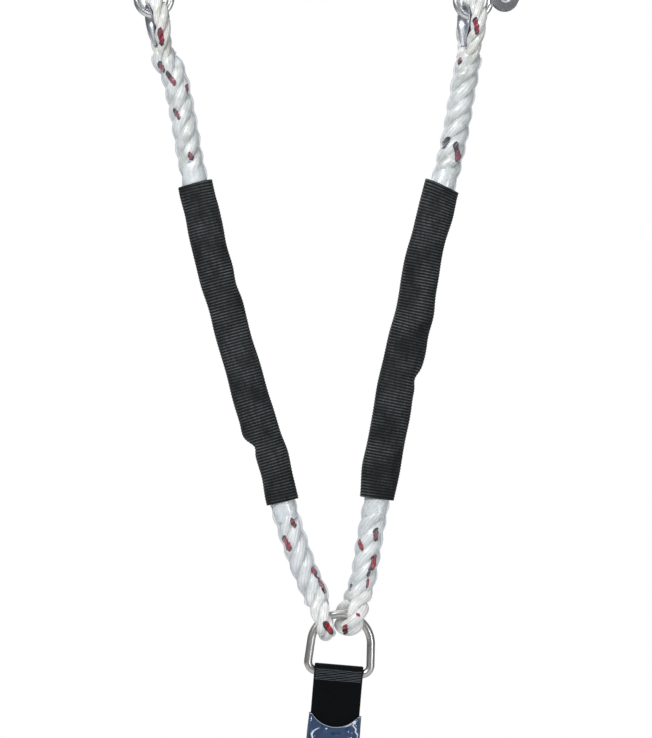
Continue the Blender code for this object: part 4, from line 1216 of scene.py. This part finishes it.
def make_gate(side, base):
    """A gate pressed from sheet into a channel that closes over the hook's nose."""
    rise = 116.5 * MM
    shape = [
        *arc(0, 0, 13 * MM, 180, 360, 36),
        *bezier((13 * MM, 0), (10.5 * MM, 60 * MM), (8.8 * MM, 100 * MM),
                (8.6 * MM, rise - 6 * MM), 4),
        *arc(4.2 * MM, rise - 4.4 * MM, 4.4 * MM, 0, 80, 8),
        *arc(-3.2 * MM, rise - 4.4 * MM, 4.4 * MM, 100, 180, 8),
    ]
    gate = flat_plate(f"{side}_pressed_gate", moved(shape, LOBE), GATE_HALF, "sheet",
                      1.7 * MM)
    hollow = [(-20, -20), (30, -20), (30, 130), (-5.2, 130), (-9.6, 33), (-20, 33)]
    channel = flat_plate("tool", moved(in_metres(hollow), LOBE), HOOK_HALF + 0.4 * MM)
    finished(gate, ("DIFFERENCE", channel), ("DIFFERENCE", rod_tool(GATE_BORE_R, LOBE)))
    dress(place(gate, base), f"{side}_hook_gate", f"{side}_gate")


def make_lever(side, base):
    """The lock lever: two cheeks either side of the hook, joined by a web at its back."""
    corners = [(-56, -86), (-52, -77), (-48, -82), (-47, -103), (-38, -115), (-22, -121),
               (-9, -127), (-1, -133), (-4, -139), (-14, -139), (-27, -138), (-41, -132),
               (-52, -121), (-56, -110)]
    lever = flat_plate(f"{side}_pressed_lever",
                       rounded(in_metres(corners), 5 * MM), LEVER_HALF, "sheet",
                       1.0 * MM, 3, 50)
    between = box_tool((-53.8 * MM, -HOOK_HALF - 0.5 * MM, -172 * MM),
                       (30 * MM, HOOK_HALF + 0.5 * MM, -40 * MM))
    finished(lever, ("DIFFERENCE", between),
             ("DIFFERENCE", rod_tool(LEVER_BORE_R, LEVER_PIVOT)))
    dress(place(lever, base), f"{side}_lock_lever", f"{side}_lever")


def make_hook(side):
    """The forged hook, its channel gate and lock lever, and their rivets and springs."""
    base = spot_frame(((-1 if side == "left" else 1) * SEAT_SPAN / 2, 0, 0),
                      HOOK_LEAN[side])
    make_hook_body(side, base)
    make_gate(side, base)
    make_lever(side, base)
    rivet(f"{side}_gate", base, LOBE, 3, 6.5, GATE_HALF, 1.8, 0)
    rivet(f"{side}_lever", base, LEVER_PIVOT, 2.5, 5.5, LEVER_HALF, 1.4, 3.2)
    coil(f"{side}_gate", base, LOBE, 5.6, 0.6, 2.5, 0, 1.6)
    coil(f"{side}_lever", base, LEVER_PIVOT, 3.9, 0.5, 1.25,
         -(LEVER_HALF + 1.6 * MM), 1.2)


def rivet(label, base, at, pin, head, cheek, head_t, front_space):
    """A pin with domed heads outside the cheeks.

    All but at and cheek are in mm; front_space is what the front head leaves for a coil."""
    back = cheek + 0.3 * MM
    front = back + front_space * MM
    pin, head, head_t = pin * MM, head * MM, head_t * MM

    def dome(sign, start):
        return [(head * math.cos(t * math.pi / 2) ** 0.6 + 0.02 * MM,
                 start + sign * head_t * math.sin(t * math.pi / 2))
                for t in np.linspace(0, 1, 7)]

    profile = dome(1, front)[::-1] + [(pin, front), (pin, -back)] + dome(-1, -back)
    piece = lathe(f"{label}_rivet_domed", profile, "polished")
    place(piece, base @ Matrix.Translation((at[0], 0, at[1])))
    dress(piece, f"{label}_rivet", "hooks")


def coil(label, base, at, radius, wire, turns, middle, pitch):
    """A wire spring round the Y axis through at; radius, wire and pitch are in mm."""
    steps = 28
    points = []
    for i in range(round(turns * steps) + 1):
        angle = 2 * math.pi * i / steps
        points.append((radius * MM * math.cos(angle) + at[0],
                       middle + pitch * MM * (i / steps - turns / 2),
                       radius * MM * math.sin(angle) + at[1]))
    rings = wire_rings(carried(base, points), wire * MM, 12)
    piece = mesh_piece(f"{label}_coil", skin(rings), "spring", 50)
    dress(piece, f"{label}_spring", "hooks")


def wire_rings(points, radius, around):
    """Rings round any space curve, carried along it without twisting."""
    ways = unit(np.gradient(points, axis=0))
    side = unit(np.cross(ways[0], (0.3, 0.9, 0.2)))
    rings = []
    for point, way, reach in zip(points, ways, np.broadcast_to(radius, len(points))):
        side = unit(side - way * side.dot(way))
        up = np.cross(way, side)
        rings.append([point + reach * (math.cos(a) * side + math.sin(a) * up)
                      for a in whole_turn(around)])
    return np.array(rings)


# --- D-ring ----------------------------------------------------------------------------
def make_ring():
    """The D-ring: a flat foot, two small corners and a round top."""
    base = spot_frame(RING_FOOT, RING_TILT)
    flat = RING_HALF_W - RING_CORNER_R
    top_z = RING_HEIGHT - RING_TOP_R
    path = [(0, 0), (flat * 0.5, 0),
            *arc(flat, RING_CORNER_R, RING_CORNER_R, -90, 0, 14),
            *arc(0, top_z, RING_TOP_R, 2, 178, 70),
            *arc(-flat, RING_CORNER_R, RING_CORNER_R, 180, 270, 14), (-flat * 0.5, 0)]
    front = base.to_3x3() @ Vector((0, -1, 0))
    track = Track(carried(base, [(x, 0, z) for x, z in path]), front, 1.0 * MM, closed=True)
    shape = skin(track.ring(whole_turn(36), RING_BAR_R), closed=True,
                 across=np.linspace(0, 2 * math.pi * RING_BAR_R, 37),
                 along=[*track.s, track.length])
    dress(mesh_piece("welded_d_ring", shape, "satin", 50), "d_ring", "ring")


# --- straps and the absorber pack ---------------------------------------------------------
def strap_skin(line, width):
    """A strap of real thickness with rounded selvedges along a (y, z) line, across X."""
    line = np.asarray(line, float)
    ways = unit(np.gradient(line, axis=0))
    half, r = width / 2, WEB_T / 2
    across = np.linspace(-half + r, half - r, 25)
    bend = np.linspace(0, math.pi, 9)[1:-1]
    section = [(x, r) for x in across]
    section += [(half - r + r * math.sin(a), r * math.cos(a)) for a in bend]
    section += [(x, -r) for x in across[::-1]]
    section += [(-half + r - r * math.sin(a), -r * math.cos(a)) for a in bend]
    x, out = np.array(section).T
    rings = np.zeros((len(line), len(section), 3))
    rings[:, :, 0] = x
    rings[:, :, 1] = line[:, :1] - ways[:, 1:] * out
    rings[:, :, 2] = line[:, 1:] + ways[:, :1] * out
    reach = run_along(line)
    return skin(rings, across=[*x, x[0]], along=[*reach, reach[-1]])


def loop_line(centre, radius, neck, far):
    """Down one ply, round the bar and back along the other, as (y, z)."""
    ply = WEB_T / 2
    mid = radius + ply
    half = [(-ply, far + (neck - far) * t) for t in np.linspace(0, 1, 40)]
    wrap = 24                        # how far past a half turn it goes, in degrees
    if far < centre:
        turn = arc(0, centre, mid, 180 + wrap, -wrap, 40)
    else:
        turn = arc(0, centre, mid, 180 - wrap, 360 + wrap, 40)
    (foot_y, foot_z), (start_y, start_z) = half[-1], turn[0]
    half += bezier(half[-1], (foot_y, foot_z + (start_z - foot_z) * 0.5),
                   (start_y + 0.2 * (foot_y - start_y),
                    start_z + 0.35 * (foot_z - start_z)), turn[0], 12)
    return half + turn + [(-y, z) for y, z in reversed(half)]


def make_pack():
    """The two webbing loops and the folded webbing between them, and what holds them."""
    base = spot_frame(RING_FOOT, RING_TILT)
    upper = loop_line(0, RING_BAR_R + MM, -20 * MM, -130 * MM)
    lower = loop_line(TAIL_LOOP, TAIL_LOOP_R, -256 * MM, -134 * MM)
    for name, line, width, look, node, slot_name in (
            ("upper_strap", upper, WEB_WIDTH, "strap",
             "upper_strap_loop", "black_webbing"),
            ("lower_strap", lower, TAIL_WIDTH, "strap",
             "lower_strap_loop", "black_webbing"),
            ("tear_webbing_front", fold_line(-1), WEB_WIDTH, "navy",
             "folded_webbing_front", "navy_webbing"),
            ("tear_webbing_back", fold_line(1), WEB_WIDTH, "navy",
             "folded_webbing_back", "navy_webbing")):
        piece = mesh_piece(name, strap_skin(line, width), look, 60)
        dress(place(piece, base), node, "absorber")
    make_bag(base)
    make_label(base)
    make_keeper(base)
    make_stitches(base)
    make_rib_highlights(base)


def fold_line(sign):
    """Webbing folded down and up beside the loops, as (y, z), sign -1 in front."""
    pitch = WEB_T + 0.35 * MM
    bend = pitch / 2
    inset = bend + WEB_T / 2
    foot = PACK_BOTTOM + inset
    line = []
    for run in range(FOLDS):
        y = 1.5 * WEB_T + 0.45 * MM + run * pitch
        top = PACK_TOP - (inset if 0 < run < FOLDS - 1 else 0)
        down = run % 2 == 0
        start, end = (top, foot) if down else (foot, top)
        line += [(y, start + (end - start) * t) for t in np.linspace(0, 1, 50)]
        if run < FOLDS - 1:
            for k in range(1, 12):
                angle = math.radians(180 + 15 * k if down else 180 - 15 * k)
                line.append((y + bend + bend * math.cos(angle),
                             end + bend * math.sin(angle)))
    return [(sign * y, z) for y, z in line]


# Creases in the film below its mouth: start and end x and z, height and width, in mm
BAG_CREASES = [(-16.5, -61, -18.5, -56, 1.5, 2.6), (-18.5, -56, -12, -51, 1.3, 2.4),
               (18, -44, 13, -51, 1.2, 2.0), (13, -51, 18, -58, 1.4, 2.2),
               (-6.5, -51, -6, -51, 0.9, 1.2), (-17, -215, -8, -222, 0.9, 1.8),
               (16, -209, 12, -219, 0.9, 1.8), (14, -90, 18, -72, 0.7, 2.0)]
BAG_STATIONS = [(-39, 23.6, 4.4), (-47, 24.0, 8.0), (-53, 24.3, 12.8), (-58, 24.4, 15.3),
                (-222, 24.4, 15.3), (-227, 24.1, 13.0), (-232, 19.0, 8.0),
                (-238, 15.0, 4.6)]


def squared(wave, power):
    """A sine or cosine pushed towards a square wave."""
    return np.sign(wave) * np.abs(wave) ** power


def squared_oval(half_w, half_d, power, count):
    """Evenly spaced points round a rounded rectangle."""
    turn = np.linspace(0, 2 * math.pi, 1441)
    x, y = squared(np.cos(turn), power) * half_w, squared(np.sin(turn), power) * half_d
    reach = np.concatenate([[0], np.cumsum(np.hypot(np.diff(x), np.diff(y)))])
    at = np.linspace(0, reach[-1], count, endpoint=False)
    return zip(np.interp(at, reach, x), np.interp(at, reach, y))


def off_line(spot, x0, z0, x1, z1):
    """How far a spot is from a short line."""
    start, way = Vector((x0, z0)), Vector((x1 - x0, z1 - z0))
    share = min(1, max(0, (spot - start).dot(way) / way.length_squared))
    return (spot - start - way * share).length


def bag_spot(x, y, z, w, d):
    """A point of the plain bag, all in mm, with the film's swells and creases."""
    swell = noise.noise(Vector((x * 0.10, y * 0.12, z * 0.05)))
    fine = noise.noise(Vector((x * 0.32 + 9, y * 0.3, z * 0.16 + 0.4 * x)))
    near_end = (math.exp(-(z - BAG_TOP) ** 2 / 160) + math.exp(-(z - BAG_FOOT) ** 2 / 200))
    swell = 0.35 * swell + 0.25 * fine + 1.1 * near_end * max(swell + 0.2, 0)
    dip = math.exp(-(BAG_TOP - z) / 16) * 11 * max(0, 1 - (x / 21) ** 2) ** 0.8
    seen = Vector((x if y < 0 else -x, z - dip))
    lift = sum(high * math.exp(-(off_line(seen, *ends) / wide) ** 2)
               for *ends, high, wide in BAG_CREASES) if d > 6 else 0
    y += math.copysign(lift * min(1, abs(y) / d), y)
    crown = 0.07 * math.exp(-((z + 57) / 11) ** 2) * (1 - (x / w) ** 2)
    return (x * (1 + swell / 60),
            y * (1 + swell / 26 + crown) + 0.25 * math.copysign(1, y), z - dip)


def make_bag(base):
    """The clear film bag: rounded, a little creased, with a dipped mouth and a hem."""
    zs = np.concatenate([np.linspace(BAG_TOP, -62, 40), np.linspace(-63, -218, 110),
                         np.linspace(-219, BAG_FOOT, 30)])
    known = np.array(BAG_STATIONS)[::-1]
    soften = np.exp(-((zs[:, None] - zs[None, :]) / 4.0) ** 2) * np.gradient(-zs)[None, :]
    soften /= soften.sum(1)[:, None]
    half_w, half_d = (soften @ np.interp(zs, known[:, 0], known[:, k]) for k in (1, 2))
    rings = np.zeros((len(zs), 200, 3))
    for i, (z, w, d) in enumerate(zip(zs, half_w, half_d)):
        power = 2 / (4.5 + 3.5 * min(1, d / 15.2))
        rings[i] = [bag_spot(x, y, z, w, d) for x, y in squared_oval(w, d, power, 200)]
    rings *= MM
    inner = rings + unit(rings * (-1, -1, 0)) * 0.35 * MM
    bag = mesh_piece("film_bag", skin(np.concatenate([rings, inner[::-1]], 0), closed=True),
                     "bag")
    dress(place(bag, base), "film_cover", "absorber")
    # The mouth's bead, coloured light as a painted highlight along the film's edge.
    mouth = Track(rings[0], (0, 0, 1), 0.8 * MM, closed=True)
    hem = mesh_piece("film_hem", skin(mouth.ring(whole_turn(8), 0.34 * MM), closed=True),
                     "hem")
    dress(place(hem, base), None, "absorber")
    make_painted_glints(bag)


# Painted highlights on the film, laid as thin light ridges: x, z and half width in mm along
# each
PAINTED_FILM_GLINTS = [[(10.6, -827.8, 0.2), (7.7, -828.6, 0.6), (4.7, -830.4, 0.8),
               (2.9, -832.8, 0.9), (3.9, -836.2, 0.6), (5.6, -838.4, 0.2)],
              [(15.7, -829.0, 0.3), (16.6, -828.8, 0.9), (17.5, -828.7, 0.3)],
              [(43.9, -822.2, 0.4), (42.8, -823.9, 1.0), (41.0, -826.4, 0.4),
               (43.9, -829.3, 0.6), (43.1, -831.6, 0.5), (45.4, -833.9, 0.6),
               (44.6, -837.0, 0.2)],
              [(2.6, -985.0, 0.3), (6.5, -990.0, 0.6), (12.0, -993.5, 0.3)],
              [(-2.5, -958.0, 0.3), (0.6, -966.0, 0.6), (-1.0, -972.0, 0.3)]]


def make_painted_glints(bag):
    """Painted highlights on the clear film: thin light-coloured ridges laid on its front
    and back.
    """
    tree = surface_tree([bag])
    parts = []
    for painted_glint in PAINTED_FILM_GLINTS:
        knots = np.array(painted_glint)
        at = np.linspace(0, len(knots) - 1, 8 * len(knots))
        xs, zs, halves = (np.interp(at, np.arange(len(knots)), knots[:, k])
                          for k in range(3))
        for face in (-1, 1):
            line = []
            for x, z, half in zip(xs, zs, halves):
                hit, normal, _, _ = tree.ray_cast(Vector((x, 60 * face, z)) * MM,
                                                  Vector((0, -face, 0)))
                if hit is not None:
                    line.append((*(hit - normal * 0.8 * half * MM), 1.4 * half * MM))
            if len(line) > 6:
                line = np.array(line)
                parts.append(skin(wire_rings(line[:, :3], line[:, 3], 10)))
    piece = mesh_piece("film_painted_glints", joined(parts), "painted_glint")
    dress(piece, None, "absorber")


def make_label(base):
    """A blank card just in front of the bag's face."""
    corners = [(-17, -100), (17, -100), (17, -185), (-17, -185)]
    outline = rounded(in_metres(corners), 3 * MM)
    label = finished(flat_plate("plain_label", outline, 0.2 * MM, "label", 0.12 * MM, 2))
    place(label, Matrix.Translation((0, LABEL_Y, 0)))
    dress(place(label, base), "blank_label", "absorber")


def make_keeper(base):
    """A rubber band round the lower loop: levels are heights and how far each is in."""
    high, low = -240.0, -254.0
    half = [(0, 1.7), (0, 0.7), (0.3, 0.25), (1.0, 0), (4.5, 0.15)]
    levels = [(high - down, tuck) for down, tuck in half] + [(high - 7, 0.3)]
    levels += [(low + up, tuck) for up, tuck in half[::-1]]
    turn, power = whole_turn(72), 2 / 5.5
    rings = [np.stack([squared(np.cos(turn), power) * (14.5 - tuck) * MM,
                       squared(np.sin(turn), power) * (6.4 - tuck) * MM,
                       np.full(len(turn), z * MM)], 1) for z, tuck in levels]
    piece = mesh_piece("rubber_keeper", skin(rings, closed=True), "rubber", 50)
    dress(place(piece, base), "loop_keeper", "absorber")


def stitch(at, way, length):
    """One sewn stitch: a short thread that dips into the cloth at both ends."""
    t = np.linspace(-1, 1, 7)
    out = np.array((0, math.copysign(1, at[1]), 0))
    points = (np.array(at)[None, :] + np.array(way)[None, :] * (t * length / 2)[:, None]
              + out[None, :] * ((1 - t**2) * 0.35 - 0.15)[:, None] * MM)
    return skin(wire_rings(points, 0.32 * MM, 8))


def make_rib_highlights(base):
    """Raised rib threads across the strap just below the ring, on both faces, coloured
    light grey as painted highlights of the ribs.
    """
    tree = surface_tree([bpy.data.objects["upper_strap"]])
    turn = base.to_3x3()
    parts = []
    for face, row in itertools.product((-1, 1), range(7)):
        line = []
        for x in np.linspace(-1, 1, 61):
            wave = 0.5 * noise.noise(Vector((2.3 * x, row * 3.7, face)))
            uneven = noise.noise(Vector((3.1 * x, row * 1.9, 5 + face)))
            proud = 0.12 + 0.3 * uneven - 0.12 * (row > 5) + 0.1 * x**4
            spot = base @ (Vector((21.2 * x, face * 30, 2.4 - 1.55 * row + wave)) * MM)
            hit, normal, _, _ = tree.ray_cast(spot, turn @ Vector((0, -face, 0)))
            line.append(hit + normal * proud * MM)
        parts.append(skin(wire_rings(np.array(line), 0.19 * MM, 8)))
    piece = mesh_piece("rib_highlight_lines", joined(parts), "thread")
    dress(piece, None, "absorber")


def make_stitches(base):
    """Rows of stitches that close the lower loop, on both faces."""
    parts = []
    for face, row, k in itertools.product((-1, 1), range(7), range(3)):
        at = ((-9 + 3 * row) * MM, face * (WEB_T + 0.1 * MM), (-256.6 - 2.6 * k) * MM)
        parts.append(stitch(at, (0.25, 0, 0.97), 2.1 * MM))
    piece = mesh_piece("loop_stitches", joined(parts), "thread")
    dress(place(piece, base), None, "absorber")


# --- carabiner ---------------------------------------------------------------------------
def make_carabiner():
    """A bent rod with a nose and a fork, between which the gate goes."""
    base = spot_frame(RING_FOOT, RING_TILT) @ Matrix.Translation((0, 0, CARABINER_TOP))
    w, h = CARABINER_HALF_W, CARABINER_HEIGHT
    r_top, r_low = 14 * MM, 20 * MM
    fork_top = GATE_PIN + 5 * MM
    path = [(w, GATE_TOP), *arc(w - r_top, -r_top, r_top, 0, 90, 16),
            *arc(-w + r_top, -r_top, r_top, 90, 180, 16),
            *arc(-w + r_low, -h + r_low, r_low, 180, 270, 20),
            *arc(w - r_low, -h + r_low, r_low, 270, 360, 20), (w, fork_top)]
    track = Track([(x, 0, z) for x, z in path], VIEWER, 1.2 * MM)
    angles = whole_turn(32)
    flat = 1 - 0.10 * np.abs(np.sin(angles)) ** 4
    body = mesh_piece("bent_carabiner", skin(track.ring(angles, CARABINER_R * flat)),
                      "polished")
    nose = box_tool((w - 3 * MM, -1.6 * MM, GATE_TOP - 6.5 * MM),
                    (w + 3 * MM, 1.6 * MM, GATE_TOP + 3 * MM))
    fork = box_tool((w - 8 * MM, -2.6 * MM, GATE_PIN - 5.6 * MM),
                    (w + 8 * MM, 2.6 * MM, fork_top + 5 * MM))
    finished(body, ("UNION", nose), ("DIFFERENCE", fork),
             ("DIFFERENCE", rod_tool(1.8 * MM, (w, GATE_PIN), 9 * MM)), sharp=40)
    dress(place(body, base), "carabiner_body", "carabiner")
    make_gate_bar(base)
    make_screw_sleeve(base)


def make_gate_bar(base):
    """The carabiner's gate, slotted for the nose, and the pin that it turns on."""
    w = CARABINER_HALF_W
    gate_r = 4.9 * MM
    top = GATE_TOP - 0.4 * MM - GATE_PIN
    gate = lathe("turned_gate", [(0.01 * MM, top), (gate_r - 0.8 * MM, top),
                                 (gate_r - 0.25 * MM, top - 0.25 * MM),
                                 (gate_r, top - 0.8 * MM), (gate_r, top - 7 * MM),
                                 (gate_r, 20 * MM), (gate_r, 9 * MM), (gate_r, 7 * MM),
                                 (gate_r - 0.5 * MM, 6.6 * MM), (0.01 * MM, 6.6 * MM)],
                 "polished", Matrix.Translation((w, 0, GATE_PIN)))
    outline = [*in_metres([(3.4, 8), (-3.4, 8)]), *arc(0, 0, 4.2 * MM, 180, 360, 24)]
    tongue = flat_plate("tool", moved(outline, (w, GATE_PIN)), 2.2 * MM, None, 0.4 * MM, 2)
    slot = box_tool((w - 8 * MM, -2 * MM, GATE_PIN + top - 7 * MM),
                    (w + 8 * MM, 2 * MM, GATE_PIN + top + 3 * MM))
    finished(gate, ("UNION", finished(tongue)), ("DIFFERENCE", slot),
             ("DIFFERENCE", rod_tool(1.8 * MM, (w, GATE_PIN), 9 * MM)))
    dress(place(gate, base), "carabiner_gate", "gate_bar")

    edge = in_metres([(0.01, 4.6), (1.2, 4.55), (1.5, 4.2)])
    pin = lathe("gate_pin", edge + [(r, -z) for r, z in edge[::-1]], "satin")
    place(pin, Matrix.Translation((w, 0, GATE_PIN)))
    dress(place(pin, base), "carabiner_gate_pin", "carabiner")


def make_screw_sleeve(base):
    """A knurled nut: shallow diamonds between two plain bands."""
    low, high = GATE_PIN + 7.5 * MM, GATE_TOP - 8.2 * MM
    half = (high - low) / 2
    inner, outer = 5.35 * MM, 7.6 * MM
    rows = [(inner, half - 0.5 * MM), (inner + 0.5 * MM, half), (outer - 0.8 * MM, half),
            (outer - 0.2 * MM, half - 0.25 * MM), (outer, half - 0.9 * MM)]
    knurled = np.linspace(half - 2.5 * MM, -half + 2.5 * MM, 60)
    levels = rows + [(outer, z) for z in knurled] + [(r, -z) for r, z in rows[::-1]]
    angles = whole_turn(144)
    rings = []
    for i, (r, z) in enumerate(levels):
        deep = 0.0
        if len(rows) <= i < len(rows) + len(knurled):
            edge = min(1, (half - 2.3 * MM - abs(z)) / (0.6 * MM))
            one = np.abs(np.sin(12 * angles + z / MM * 1.6))
            two = np.abs(np.sin(12 * angles - z / MM * 1.6))
            deep = 0.32 * MM * edge * (1 - np.minimum(one, two) ** 0.5)
        rings.append(np.stack([(r - deep) * np.cos(angles), (r - deep) * np.sin(angles),
                               np.full(len(angles), z)], 1))
    piece = mesh_piece("knurled_sleeve", skin(rings, closed=True), "satin", 60)
    place(piece, Matrix.Translation((CARABINER_HALF_W, 0, (low + high) / 2)))
    dress(place(piece, base), "carabiner_screw_sleeve", "screw_sleeve")


LOOKS = all_looks()
make_camera()
ropes = {side: make_rope(side) for side in SIDES}
make_studio()
for side in SIDES:
    track, radius = ropes[side]
    make_tracers(side)
    make_film(side, track, radius)
    make_cover(side, track)
    make_thimble(side)
    make_hook(side)
make_ring()
make_pack()
make_carabiner()
